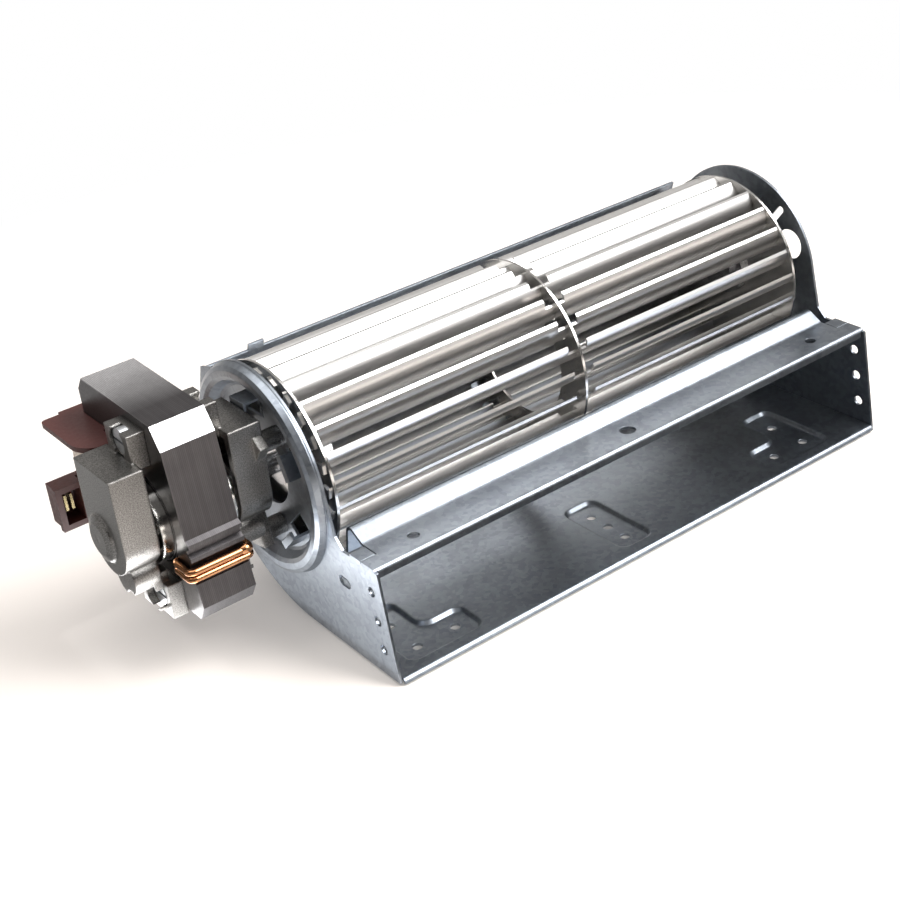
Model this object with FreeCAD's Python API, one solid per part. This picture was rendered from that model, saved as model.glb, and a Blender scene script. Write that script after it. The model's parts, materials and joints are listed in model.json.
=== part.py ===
import FreeCAD, Part
import math
import os

# Cross flow fan: a bladed drum between two side plates, driven by a small shaded pole motor.
# All lengths are in millimetres. X runs along the drum from the motor to the far bearing,
# Y runs from the outlet to the back, Z points up.
# Heights are drawn from the underside of the lip. The saved pieces are lowered, so that the origin
# is the middle fixing hole on the top face of the flange.

# Drum
drum_diameter = 60.0
drum_length = 176.0
disc_thickness = 0.8
blade_count = 24
blade_thickness = 0.5
blade_rim_gap = 0.4
blade_depth = 6.6
blade_lean_deg = 28.0
blade_phase_deg = 12.2
blade_end_gap = 0.05
tab_rim_inset = 1.3
tab_inner_inset = 1.6
tab_fold_width = 2.6
tab_fold_trim = 0.4
tab_fold_turn_deg = 18.0
tab_lean_share = 0.25
slot_clearance = 0.15
notch_half_length = 3.6
middle_disc_hole_radius = 19.0

# Where the drum lies in the casing
axis_y = 45.0
axis_z = 44.2
drum_gap_motor_side = 3.4
drum_gap_bearing_side = 6.4

# Casing sheet
sheet = 0.8
head_gap = 1.4
scroll_gap = 2.3
scroll_top_angle = 20.0
scroll_top_z = 66.0
tray_flat_end_y = 31.0
tray_front_y = -12.2
tray_height = 0.9
lip_fold_deg = 62.0
lip_radius = 1.0
plate_overhang = 0.5
end_clearance = 0.3
wall_window_length = 13.0
wall_window_drop = 4.0
wall_window_height = 9.0
wall_end_setback = 3.9
edge_tab_x = -76.0
edge_tab_width = 5.0
edge_tab_height = 2.0

# Front wall with its fixing flange
flange_top_z = 34.0
flange_front_y = -6.4
flange_flat_end_y = 5.4
ridge_rise = 3.4
ridge_top_y = 11.2
ridge_bend_radius = 1.8
ridge_foot_radius = 2.0
ridge_bend_trim = 2.2
tongue_lean_deg = 78.0
tongue_length = 7.5
hem_drop = 1.7
flange_hole_spacing = 76.5
flange_hole_radius = 1.7
flange_middle_hole_radius = 2.4

# Side plates
plate_front_lean = 4.0
plate_hole_radius = 1.5
plate_hole_inset = 4.6
plate_hole_first_z = 8.6
plate_hole_pitch = 8.7
plate_slot_radius = 1.6
plate_slot_length = 5.5
plate_slot_y = 9.6
plate_slot_z = 23.0
plate_tab_width = 5.0
plate_tab_reach = 4.0
plate_foot_setback = 1.0
plate_step_inset = 2.6
cheek_deg = 7.0
neck_inset = 2.2
neck_height = 2.2
crown_middle_deg = 75.0
crown_end_deg = 130.0
bead_height = 2.7
bead_width = 5.8
dish_recess = 1.0
dish_hole_radius = 11.0
hook_angles = (24.5, 91.0, -46.0)
hook_radius = 22.6
hook_reach = 5.2
hook_length = 7.5
hook_lip = 2.4
lance_gap = 0.6
vent_hole_radius = 4.9
vent_hole_deg = 26.0
vent_edge_margin = 2.6
vent_slot_half_width = 1.2
vent_slot_length = 9.0
vent_slot_deg = 50.0
vent_count = 3

# Embossed fixing pads in the tray
pad_depth = 1.2
pad_slope_reach = 1.5
pad_corner_radius = 3.6
pad_half_width = 6.5
pad_front_y = -7.5
pad_back_y = 21.0
pad_reach = 19.5
pad_pitch = 76.3
pad_offset_x = -4.3
pad_hole_radius = 1.5
pad_hole_spacing = 13.0
pad_row_spacing = 7.5

# Far bearing
stub_shaft_radius = 3.0
stub_flange_radius = 9.0
stub_flange_thickness = 1.6
running_clearance = 0.03
bush_ball_radius = 5.5
bush_length = 7.0
rubber_outer_radius = 12.0
rubber_length = 7.0
rubber_groove_depth = 1.5
rubber_edge = 1.0
rubber_bore_share = 0.86
stub_collar_radius = 5.0
stub_collar_proud = 1.2
stub_root = 3.0
stub_end_proud = 2.5
cap_radius = 9.5
cap_depth = 4.2
cap_sheet = 0.6
cap_shoulder_length = 1.4
cap_shoulder_inset = 1.0
cap_crown_inset = 3.2
cap_rim = 1.2
seat_gap = 0.1

# Motor
motor_stand_off = 18.8
stack_thickness = 16.0
pole_reach = 18.0
stack_rise = 31.8
stack_drop = 24.2
crown_setback = 7.2
crown_slope = 0.8
crown_back_y_trim = 3.4
crown_back_z_trim = 4.2
shoulder_setback = 3.3
shoulder_drop = 6.8
tooth_reach = 1.5
tooth_half_height = 0.6
tooth_slope = 0.8
tooth_drops = (1.4, 5.4)
toe_reach = 3.2
toe_height = 4.8
toe_shoulder = 1.8
toe_gap = 2.2
heel_trim = 2.0
coil_window_depth = 6.5
rotor_radius = 12.5
air_gap = 0.4
bore_bridge = 1.6
coil_core_depth = 10.0
yoke_height_top = 11.3
yoke_height_bottom = 13.6
cage_ring_length = 3.2
cage_ring_wall = 4.0
cage_bar_count = 14
cage_bar_radius = 1.0
cage_bar_depth = 1.9
cage_bar_gap = 0.02
cage_bar_overlap = 0.5
motor_shaft_radius = 3.0
shading_wire_radius = 1.0
shading_slot_reach = 11.6
shading_slot_drop = 9.6
shading_gap = 0.15
shading_stand_off = 0.9
shading_corner = 1.4
coil_build = 4.2
winding_trim = 0.6
bobbin_wall = 1.0
bobbin_flange = 1.5
coil_corner = 2.5
wing_reach = 10.2
wing_front_y = 53.5
wing_back_y = 80.0
wing_corner = 8.0
wing_tip_radius = 1.5
socket_wall = 1.2
socket_width = 7.9
socket_height = 12.3
socket_lift = -1.1
socket_mouth_y = 75.5
socket_back_y = 83.0
socket_rim = 0.5
socket_rim_length = 2.0
pin_length = 3.0
pin_thickness = 0.8
pin_width = 4.8
bracket_wall = 2.2
bracket_gap = 4.4
bracket_depth = 9.8
bracket_half_width = 10.0
bracket_shift_y = -2.0
bracket_top_drop = 10.8
prong_overlap = 0.8
prong_top_drop = 3.0
prong_half_span = 6.2
prong_thickness = 3.6
foot_plate = 2.1
foot_half_width = 6.0
foot_below_screw = 5.8
foot_above_screw = 4.4
lobe_radius = 5.4
lobe_shift_y = -1.0
lobe_inset_x = 2.2
dome_step = 1.2
dome_nose_trim = 3.2
dome_nose_length = 0.8
dome_rise_length = 2.4
screw_top_shift = -1.2
screw_top_drop = 6.6
screw_low_shift = -5.0
screw_low_rise = 4.6
leg_angles = (53.0, 130.0, -78.0)
leg_radius = 17.0
leg_post_radius = 3.0
arm_width = 7.2
ball_gap = 0.02
screw_radius = 2.0
screw_head_radius = 3.6
screw_head_height = 2.4
screw_slot_depth = 1.0
screw_slot_half_width = 0.4
mounting_screw_length = 5.0
mounting_head_height = 0.9
bracket_arm = 3.0
retainer_thickness = 0.5
retainer_bore_gap = 0.9
washer_radius = 5.0
washer_thickness = 1.0
washer_gap = 0.2

# Drive hub
hub_radius = 6.5
hub_flange_radius = 9.0
hub_flange_thickness = 1.5
hub_length = 14.0
hub_spigot = 0.4
hub_bore_clearance = 0.02
hub_screw_radius = 1.5
hub_screw_length = 4.0
hub_screw_gap = 0.05
hub_screw_share = 0.6
hub_socket_depth = 1.4

# Derived places
drum_radius = drum_diameter / 2
head_radius = drum_radius + head_gap
scroll_radius = drum_radius + scroll_gap
mouth_radius = bush_ball_radius * 0.93
casing_half = (drum_length + drum_gap_motor_side + drum_gap_bearing_side) / 2
drum_left_x = -casing_half + drum_gap_motor_side
drum_right_x = casing_half - drum_gap_bearing_side
drum_middle_x = (drum_left_x + drum_right_x) / 2
plate_outer_x = casing_half + sheet
stack_right_x = -plate_outer_x - motor_stand_off
stack_left_x = stack_right_x - stack_thickness
stack_top_z = axis_z + stack_rise
stack_bottom_z = axis_z - stack_drop
pole_face_y = axis_y - pole_reach
flange_underside_z = flange_top_z - sheet
blade_outer_radius = drum_radius - blade_rim_gap
blade_inner_radius = blade_outer_radius - blade_depth
tab_outer_radius = blade_outer_radius - tab_rim_inset
tab_inner_radius = blade_inner_radius + tab_inner_inset
dish_face_x = -plate_outer_x + dish_recess

AXIS = FreeCAD.Vector(0, axis_y, axis_z)
ALONG_X = FreeCAD.Vector(1, 0, 0)


def vec(x, y, z):
    return FreeCAD.Vector(x, y, z)


def on_axis(x):
    return vec(x, axis_y, axis_z)


def polar(x, radius, angle_deg):
    """Point at a radius from the drum axis. The angle starts at the front and rises over the top."""
    a = math.radians(angle_deg)
    return vec(x, axis_y - radius * math.cos(a), axis_z + radius * math.sin(a))


def save(name, shape):
    shape = shape.removeSplitter()
    shape.translate(vec(0, 0, -flange_top_z))
    shape.exportStep("parts/" + name + ".step")
    print(name, len(shape.Solids), "solid(s)", round(shape.Volume, 1), shape.isValid())


def rod(x0, x1, radius, centre=AXIS):
    """Round bar along X."""
    return Part.makeCylinder(radius, x1 - x0, vec(x0, centre.y, centre.z), ALONG_X)


def rod_at(x0, x1, radius, y, z):
    return rod(x0, x1, radius, vec(0, y, z))


def ring(x0, x1, outer, inner, centre=AXIS):
    return rod(x0, x1, outer, centre).cut(rod(x0 - 1, x1 + 1, inner, centre))


def block(x0, x1, y0, y1, z0, z1):
    return Part.makeBox(x1 - x0, y1 - y0, z1 - z0, vec(x0, y0, z0))


def prism_x(points, x0, x1):
    """Straight sided outline given as (y, z) pairs, carried along X."""
    corners = [vec(x0, y, z) for y, z in points]
    wire = Part.makePolygon(corners + [corners[0]])
    return Part.Face(wire).extrude(vec(x1 - x0, 0, 0))


def wire_x(edges, x0, x1):
    return Part.Face(Part.Wire(edges)).extrude(vec(x1 - x0, 0, 0))


def turned(profile, centre=AXIS):
    """Full turn about the line along X through the centre. The profile holds (x, radius) pairs."""
    corners = [vec(x, centre.y, centre.z + r) for x, r in profile]
    wire = Part.makePolygon(corners + [corners[0]])
    return Part.Face(wire).revolve(vec(0, centre.y, centre.z), ALONG_X, 360)


def sector_slot(x0, x1, inner, outer, middle_deg, span_deg):
    """Kidney shaped cutter with round ends, centred on the drum axis."""
    half_width = (outer - inner) / 2
    mean = (outer + inner) / 2
    a0 = middle_deg - span_deg / 2
    a1 = middle_deg + span_deg / 2
    end_a = polar(x0, mean, a0)
    end_b = polar(x0, mean, a1)
    turn_end = math.degrees(half_width / mean)
    edges = [
        Part.Arc(polar(x0, outer, a0), polar(x0, outer, middle_deg), polar(x0, outer, a1)).toShape(),
        Part.Arc(polar(x0, outer, a1), end_b + (polar(x0, mean, a1 + turn_end) - end_b)
                 .normalize() * half_width, polar(x0, inner, a1)).toShape(),
        Part.Arc(polar(x0, inner, a1), polar(x0, inner, middle_deg), polar(x0, inner, a0)).toShape(),
        Part.Arc(polar(x0, inner, a0), end_a + (polar(x0, mean, a0 - turn_end) - end_a)
                 .normalize() * half_width, polar(x0, outer, a0)).toShape(),
    ]
    return wire_x(edges, x0, x1)


# A bent sheet is drawn like a folding plan: straight runs and bends, one after the other.
# Each step is ("run", length) or ("bend", centre line radius, angle), a left turn being positive.
def side_edges(x, start, heading_deg, steps, offset):
    """Edges of the line that keeps one distance from the sheet's centre line."""
    edges = []
    y, z = start
    heading = math.radians(heading_deg)
    for step in steps:
        normal = (-math.sin(heading), math.cos(heading))
        first = vec(x, y + normal[0] * offset, z + normal[1] * offset)
        if step[0] == "run":
            y += step[1] * math.cos(heading)
            z += step[1] * math.sin(heading)
            last = vec(x, y + normal[0] * offset, z + normal[1] * offset)
            edges.append(Part.LineSegment(first, last).toShape())
            continue
        radius, angle = step[1], math.radians(step[2])
        way = 1 if angle > 0 else -1
        centre_y = y + normal[0] * radius * way
        centre_z = z + normal[1] * radius * way
        near = radius - offset * way
        begin = math.atan2(z - centre_z, y - centre_y)

        def point(part, reach, cy=centre_y, cz=centre_z, a0=begin, a=angle):
            return vec(x, cy + reach * math.cos(a0 + a * part), cz + reach * math.sin(a0 + a * part))

        edges.append(Part.Arc(point(0, near), point(0.5, near), point(1, near)).toShape())
        end = point(1, radius)
        y, z = end.y, end.z
        heading += angle
    return edges


def bent_sheet(x0, x1, start, heading_deg, steps, thickness=sheet):
    """Sheet of one thickness that follows the steps, carried along X from x0 to x1."""
    left = side_edges(x0, start, heading_deg, steps, thickness / 2)
    right = side_edges(x0, start, heading_deg, steps, -thickness / 2)
    cap_a = Part.LineSegment(left[0].Vertexes[0].Point, right[0].Vertexes[0].Point).toShape()
    cap_b = Part.LineSegment(left[-1].Vertexes[-1].Point, right[-1].Vertexes[-1].Point).toShape()
    wire = Part.Wire(Part.__sortEdges__(left + right + [cap_a, cap_b]))
    return Part.Face(wire).extrude(vec(x1 - x0, 0, 0))


# The scroll: down from its top edge, round the back and under the drum, then forward as the tray.
tray_middle_z = tray_height + sheet / 2
big_scroll_radius = ((axis_y - tray_flat_end_y) ** 2 + (axis_z - tray_middle_z) ** 2 - scroll_radius ** 2) / (
    2 * (axis_z - tray_middle_z - scroll_radius))
big_scroll_turn_deg = 90 - math.degrees(math.atan2(
    big_scroll_radius + tray_middle_z - axis_z, axis_y - tray_flat_end_y))
scroll_straight = (scroll_top_z - axis_z - scroll_radius * math.sin(math.radians(scroll_top_angle))) / (
    math.cos(math.radians(scroll_top_angle)))
scroll_start = (
    axis_y + scroll_radius * math.cos(math.radians(scroll_top_angle))
    - scroll_straight * math.sin(math.radians(scroll_top_angle)),
    scroll_top_z)
lip_turn = math.radians(lip_fold_deg)
lip_run = (tray_middle_z - lip_radius * (1 - math.cos(lip_turn)) - sheet / 2 * math.cos(lip_turn)) / (
    math.sin(lip_turn))
lip_reach = lip_radius * math.sin(lip_turn) + lip_run * math.cos(lip_turn) + sheet / 2 * math.sin(lip_turn)


def scroll_steps(tray_run):
    small_turn = scroll_top_angle + 90 - big_scroll_turn_deg
    return [
        ("run", scroll_straight),
        ("bend", scroll_radius, -small_turn),
        ("bend", big_scroll_radius, -big_scroll_turn_deg),
        ("run", tray_run),
    ]


def scroll_heading():
    return 270 + scroll_top_angle


def pad_outline(points, radius):
    """Rounded outline of an embossed pad seen from above, from (x, y) corners."""
    count = len(points)
    edges = []
    joints = []
    for i in range(count):
        here = vec(points[i][0], points[i][1], 0)
        before = vec(points[i - 1][0], points[i - 1][1], 0)
        after = vec(points[(i + 1) % count][0], points[(i + 1) % count][1], 0)
        way_in = (before - here).normalize()
        way_out = (after - here).normalize()
        half = way_in.getAngle(way_out) / 2
        cut = radius / math.tan(half)
        a = here + way_in * cut
        b = here + way_out * cut
        middle = here + (way_in + way_out).normalize() * (radius / math.sin(half) - radius)
        joints.append((a, b))
        edges.append(Part.Arc(a, middle, b).toShape())
    for i in range(count):
        edges.append(Part.LineSegment(joints[i][1], joints[(i + 1) % count][0]).toShape())
    return Part.Wire(Part.__sortEdges__(edges))


def pressed_pad(points, holes):
    """Pad pressed down out of the tray: a flat floor with rounded, sloping sides."""
    def bowl(top):
        rims = []
        for inset, drop in ((0, 0), (0.25, 0.1), (0.75, 0.9), (1, 1)):
            rim = pad_outline(points, pad_corner_radius)
            if inset:
                rim = rim.makeOffset2D(-pad_slope_reach * inset)
            rim.translate(vec(0, 0, top - pad_depth * drop))
            rims.append(rim)
        return Part.makeLoft(rims, True, True)

    low = tray_height - 2 * pad_depth
    cutters = [Part.makeCylinder(pad_hole_radius, 4 * pad_depth, vec(x, y, low)) for x, y in holes]
    return bowl(tray_height), bowl(tray_height + sheet), cutters


def tray_pads():
    """Corner points and holes of the pads in the tray: an angle at each end and a long one between."""
    pads = []
    hole_y = pad_front_y + pad_half_width
    bar_back_y = pad_front_y + 2 * pad_half_width
    for side in (-1, 1):
        leg_x = pad_offset_x + side * pad_pitch
        outer_x = leg_x + side * pad_half_width
        inner_x = leg_x - side * pad_half_width
        end_x = leg_x - side * pad_reach
        pads.append((
            [(outer_x, pad_front_y), (outer_x, pad_back_y), (inner_x, pad_back_y),
             (inner_x, bar_back_y), (end_x, bar_back_y), (end_x, pad_front_y)],
            [(leg_x, hole_y), (leg_x - side * pad_hole_spacing, hole_y), (leg_x, hole_y + pad_hole_spacing)]))
    low_x = pad_offset_x - pad_half_width
    high_x = pad_offset_x + pad_half_width
    pads.append((
        [(low_x, pad_front_y), (high_x, pad_front_y), (high_x, pad_back_y), (low_x, pad_back_y)],
        [(pad_offset_x, hole_y + i * pad_row_spacing) for i in range(3)]))
    return pads


def scroll_wall():
    """Back wall, scroll, outlet tray and its rolled lip: one long bent sheet."""
    x0 = -casing_half + end_clearance
    x1 = casing_half - end_clearance
    steps = scroll_steps(tray_flat_end_y - tray_front_y - lip_reach) + [
        ("bend", lip_radius, lip_fold_deg),
        ("run", lip_run),
    ]
    wall = bent_sheet(x0, x1, scroll_start, scroll_heading(), steps)
    for points, holes in tray_pads():
        outer, inner, cutters = pressed_pad(points, holes)
        wall = wall.fuse(outer).cut(inner)
        for cutter in cutters:
            wall = wall.cut(cutter)
    back_y = axis_y + drum_radius / 2
    window_top = scroll_top_z - wall_window_drop
    for edge in (x0, x1 - wall_window_length):
        wall = wall.cut(block(edge - 1, edge + wall_window_length + 1, back_y, back_y + drum_radius,
                              window_top - wall_window_height, window_top))
    wall = wall.cut(block(x1 - wall_end_setback, x1 + 1, back_y, back_y + drum_radius,
                          window_top - 1, scroll_top_z + 1))
    tab_half = edge_tab_width / 2
    tab_steps = [("run", edge_tab_height), ("run", sheet)]
    lean = math.radians(scroll_top_angle)
    tab_y = scroll_start[0] - edge_tab_height * math.sin(lean)
    tab_z = scroll_top_z + edge_tab_height * math.cos(lean)
    tab = bent_sheet(edge_tab_x - tab_half, edge_tab_x + tab_half, (tab_y, tab_z),
                     scroll_heading(), tab_steps)
    return wall.fuse(tab)


def front_wall():
    """Tongue beside the drum, ridge, and flange with the fixing holes: one bent sheet."""
    run_in = flange_flat_end_y - flange_front_y
    rise_deg = math.degrees(math.atan2(ridge_rise, ridge_top_y - flange_flat_end_y))
    rise_run = math.hypot(ridge_rise, ridge_top_y - flange_flat_end_y)
    tongue_turn = rise_deg + tongue_lean_deg
    steps = [
        ("run", hem_drop),
        ("bend", sheet, -90.0),
        ("run", run_in - sheet),
        ("bend", ridge_foot_radius, rise_deg),
        ("run", rise_run - ridge_bend_trim),
        ("bend", ridge_bend_radius, -tongue_turn),
        ("run", tongue_length),
    ]
    start = (flange_front_y + sheet / 2, flange_top_z - sheet * 1.5 - hem_drop)
    inner_x = casing_half - end_clearance
    wall = bent_sheet(-plate_outer_x, plate_outer_x, start, 90.0, steps)
    tab_end_x = casing_half - plate_tab_reach - end_clearance
    for x0, x1 in ((-plate_outer_x - 1, -inner_x), (inner_x, plate_outer_x + 1)):
        wall = wall.cut(block(x0, x1, flange_front_y - 1, 0, 0, flange_underside_z))
    for x0, x1 in ((-plate_outer_x - 1, -tab_end_x), (tab_end_x, plate_outer_x + 1)):
        wall = wall.cut(block(x0, x1, -end_clearance, axis_y, 0, 2 * axis_z))
    for place, radius in ((-1, flange_hole_radius), (0, flange_middle_hole_radius), (1, flange_hole_radius)):
        centre = vec(place * flange_hole_spacing, 0, 0)
        wall = wall.cut(Part.makeCylinder(radius, 2 * axis_z, centre))
    return wall


def plate_face(x):
    """Outline shared by both side plates."""
    tray_run = tray_flat_end_y - tray_front_y - 4 * lip_radius
    front_y = tray_front_y + plate_foot_setback
    scroll = side_edges(x, scroll_start, scroll_heading(), scroll_steps(tray_run), sheet / 2 + plate_overhang)
    last = scroll[-1].Vertexes[-1].Point
    first = scroll[0].Vertexes[0].Point
    foot = vec(x, front_y, last.z)
    shoulder = vec(x, front_y + plate_front_lean, flange_underside_z)
    step = vec(x, ridge_top_y - plate_step_inset, flange_underside_z)
    cheek = polar(x, head_radius, cheek_deg)
    neck = vec(x, cheek.y - neck_inset, flange_top_z + neck_height)
    crown_end = polar(x, head_radius, crown_end_deg)
    edges = [
        Part.LineSegment(last, foot).toShape(),
        Part.LineSegment(foot, shoulder).toShape(),
        Part.LineSegment(shoulder, step).toShape(),
        Part.LineSegment(step, neck).toShape(),
        Part.LineSegment(neck, cheek).toShape(),
        Part.Arc(cheek, polar(x, head_radius, crown_middle_deg), crown_end).toShape(),
        Part.LineSegment(crown_end, first).toShape(),
    ]
    return Part.Face(Part.Wire(Part.__sortEdges__(scroll + edges)))


def plate_blank(x0, x1):
    """Flat plate with the holes along its front edge and the oblong hole."""
    plate = plate_face(x0).extrude(vec(x1 - x0, 0, 0))
    for i in range(3):
        z = plate_hole_first_z + i * plate_hole_pitch
        y = tray_front_y + plate_foot_setback + plate_front_lean * z / flange_underside_z + plate_hole_inset
        plate = plate.cut(rod_at(x0 - 1, x1 + 1, plate_hole_radius, y, z))
    for side in (-1, 1):
        y = plate_slot_y + side * (plate_slot_length / 2 - plate_slot_radius)
        plate = plate.cut(rod_at(x0 - 1, x1 + 1, plate_slot_radius, y, plate_slot_z))
    reach = plate_slot_length / 2 - plate_slot_radius
    plate = plate.cut(block(x0 - 1, x1 + 1, plate_slot_y - reach, plate_slot_y + reach,
                            plate_slot_z - plate_slot_radius, plate_slot_z + plate_slot_radius))
    return plate


def folded_tab(side):
    """Tongue that stands up at the end of the flange and is folded in level with it."""
    x_out = side * plate_outer_x
    x_in = side * casing_half
    reach = side * (casing_half - plate_tab_reach)
    low = min(x_out, x_in)
    upright = block(low, low + sheet, 0, plate_tab_width, flange_underside_z - 1, flange_top_z)
    top = block(min(x_out, reach), max(x_out, reach), 0, plate_tab_width, flange_underside_z, flange_top_z)
    return upright.fuse(top)


def leg_places():
    """Centres of the motor's three legs on the dish, with their angle."""
    return [(polar(0, leg_radius, angle), angle) for angle in leg_angles]


def turned_block(x0, x1, radius_low, radius_high, half_width, angle):
    """Block that lies along a radius from the drum axis."""
    body = block(x0, x1, -radius_high, -radius_low, -half_width, half_width)
    body.rotate(vec(0, 0, 0), ALONG_X, -angle)
    body.translate(vec(0, axis_y, axis_z))
    return body


def motor_hooks():
    """Tongues cut out of the dish and bent up towards the motor, and the windows that they leave."""
    hooks = []
    windows = []
    half = hook_length / 2
    low = hook_radius - sheet
    edge_x = dish_face_x - hook_reach
    for angle in hook_angles:
        hooks.append(turned_block(edge_x, dish_face_x + sheet, low, hook_radius, half, angle))
        hooks.append(turned_block(edge_x, edge_x + sheet, hook_radius - hook_lip, hook_radius, half, angle))
        windows.append(turned_block(dish_face_x - 1, dish_face_x + sheet + 1, low - hook_reach, low,
                                    half + lance_gap, angle))
    return hooks, windows


def motor_side_plate():
    x0 = -plate_outer_x
    x1 = -casing_half
    plate = plate_blank(x0, x1).fuse(folded_tab(-1))
    bead_outer = head_radius
    bead_inner = bead_outer - bead_width
    crest = (bead_outer + bead_inner) / 2
    flat_r = bead_outer - sheet / 4
    half = bead_width / 2
    plate = plate.cut(rod(x0 - 1, x1 + 1, bead_outer - 2 * sheet))
    bead = [
        (x1, flat_r - 2 * sheet),
        (x1 - sheet / 4, flat_r),
        (x0 - sheet / 2, flat_r),
        (x0 - bead_height * 0.75, crest + half * 0.72),
        (x0 - bead_height, crest + half * 0.3),
        (x0 - bead_height, crest - half * 0.3),
        (x0 - bead_height * 0.75, crest - half * 0.72),
        (x0 + dish_recess * 0.4, bead_inner - sheet),
        (x0 + dish_recess, bead_inner - 2 * sheet),
        (x0 + dish_recess, dish_hole_radius),
        (x1 + dish_recess, dish_hole_radius),
        (x1 + dish_recess, bead_inner - 1.5 * sheet),
        (x1 - bead_height * 0.55, crest - half * 0.5),
        (x1 - bead_height * 0.8, crest),
        (x1 - bead_height * 0.6, crest + half * 0.35),
    ]
    plate = plate.fuse(turned(bead))
    hooks, windows = motor_hooks()
    plate = plate.cut(Part.makeCompound(windows)).fuse(hooks)
    for place, angle in leg_places():
        plate = plate.cut(rod_at(x0 - 1, x1 + dish_recess + 1, screw_radius + seat_gap, place.y, place.z))
    return plate


def vent_slot(x0, x1, angle):
    """Oblong hole that points at the drum axis."""
    high = head_radius - vent_edge_margin - vent_slot_half_width
    low = high - vent_slot_length
    slot = turned_block(x0, x1, low, high, vent_slot_half_width, angle)
    for radius in (low, high):
        end = polar(0, radius, angle)
        slot = slot.fuse(rod_at(x0, x1, vent_slot_half_width, end.y, end.z))
    return slot


def bearing_side_plate():
    x0 = casing_half
    x1 = plate_outer_x
    plate = plate_blank(x0, x1).fuse(folded_tab(1))
    vent_radius = head_radius - vent_edge_margin - vent_hole_radius
    for i in range(vent_count):
        turn = 360 / vent_count * i
        hole = polar(0, vent_radius, vent_hole_deg + turn)
        plate = plate.cut(rod_at(x0 - 1, x1 + 1, vent_hole_radius, hole.y, hole.z))
        plate = plate.cut(vent_slot(x0 - 1, x1 + 1, vent_slot_deg + turn))
    trim_y = axis_y + drum_radius / 2
    trim_z = scroll_top_z - wall_window_drop - wall_window_height
    corner = block(x0 - 1, x1 + 1, trim_y, axis_y + 2 * drum_radius, trim_z, 2 * axis_z)
    plate = plate.cut(corner.cut(rod(x0 - 2, x1 + 2, head_radius)))
    return plate.cut(rod(x0 - 1, x1 + 1, rubber_outer_radius - rubber_groove_depth))


def blade_section(x, outer_radius, inner_radius, angle_deg, thickness):
    """Curved blade section: it leans forward at the rim and meets the inner circle nearly square."""
    def swept(radius):
        depth = (blade_outer_radius - radius) / blade_depth
        return polar(x, radius, angle_deg - blade_lean_deg / 2 * depth * (2 - depth))

    points = [swept(outer_radius), swept((outer_radius + inner_radius) / 2), swept(inner_radius)]
    middle_line = Part.Arc(points[0], points[1], points[2]).toShape().Curve
    centre = middle_line.Center

    def shifted(by):
        return [centre + (q - centre).normalize() * (middle_line.Radius + by) for q in points]

    far = shifted(thickness / 2)
    near = shifted(-thickness / 2)
    edges = [
        Part.Arc(far[0], far[1], far[2]).toShape(),
        Part.LineSegment(far[2], near[2]).toShape(),
        Part.Arc(near[2], near[1], near[0]).toShape(),
        Part.LineSegment(near[0], far[0]).toShape(),
    ]
    return Part.Face(Part.Wire(edges))


def blade_angle(index):
    return blade_phase_deg + 360 / blade_count * index


def blade_strip(x0, x1, angle, outer_radius, inner_radius, thickness):
    """Piece of a blade between two distances from the drum axis."""
    section = blade_section(x0, drum_radius + 1.0, blade_inner_radius - 1.0, angle, thickness)
    return section.extrude(vec(x1 - x0, 0, 0)).common(ring(x0 - 1, x1 + 1, outer_radius, inner_radius))


def blade(index):
    """One pressed blade: full width between the discs, narrow where it passes a slot, tabs folded over."""
    angle = blade_angle(index)
    inside_left = drum_left_x + disc_thickness + blade_end_gap
    inside_right = drum_right_x - disc_thickness - blade_end_gap
    middle_left = drum_middle_x - notch_half_length
    middle_right = drum_middle_x + notch_half_length
    fold_left = drum_left_x - blade_thickness
    fold_right = drum_right_x + blade_thickness
    wide = (angle, blade_outer_radius, blade_inner_radius, blade_thickness)
    narrow = (angle, tab_outer_radius, tab_inner_radius, blade_thickness)
    strips = [
        blade_strip(inside_left, middle_left, *wide),
        blade_strip(middle_right, inside_right, *wide),
        blade_strip(fold_left, inside_left, *narrow),
        blade_strip(middle_left, middle_right, *narrow),
        blade_strip(inside_right, fold_right, *narrow),
    ]
    middle_deg = angle - blade_lean_deg * tab_lean_share
    centre = polar(0, (tab_outer_radius + tab_inner_radius) / 2, middle_deg)
    fold_length = tab_outer_radius - tab_inner_radius - tab_fold_trim
    for x0 in (fold_left, drum_right_x):
        fold = block(x0, x0 + blade_thickness, -fold_length / 2, fold_length / 2, 0, tab_fold_width)
        fold.rotate(vec(0, 0, 0), ALONG_X, 180 - middle_deg + tab_fold_turn_deg)
        fold.translate(vec(0, centre.y, centre.z))
        strips.append(fold)
    return strips[0].fuse(strips[1:])


def slotted_disc(x0, hole_radius):
    """Round disc with one curved slot for each blade."""
    disc = rod(x0, x0 + disc_thickness, drum_radius)
    slots = [blade_strip(x0 - 1, x0 + disc_thickness + 1, blade_angle(i), tab_outer_radius + slot_clearance,
                         tab_inner_radius - slot_clearance, blade_thickness + 2 * slot_clearance)
             for i in range(blade_count)]
    disc = disc.cut(Part.makeCompound(slots))
    return disc.cut(rod(x0 - 1, x0 + disc_thickness + 1, hole_radius))


def drive_hub():
    """Turned hub on the inside of the motor side disc, clamped on the motor shaft by a grub screw."""
    x0 = drum_left_x + disc_thickness
    hub = rod(x0, x0 + hub_flange_thickness, hub_flange_radius)
    hub = hub.fuse(rod(drum_left_x - hub_spigot, x0 + hub_length, hub_radius))
    hub = hub.cut(rod(x0 - 5, x0 + hub_length + 1, motor_shaft_radius + hub_bore_clearance))
    hole = Part.makeCylinder(hub_screw_radius + hub_screw_gap, hub_radius + 1,
                             vec(x0 + hub_length * hub_screw_share, axis_y, axis_z), vec(0, 0, 1))
    return hub.cut(hole)


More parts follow.
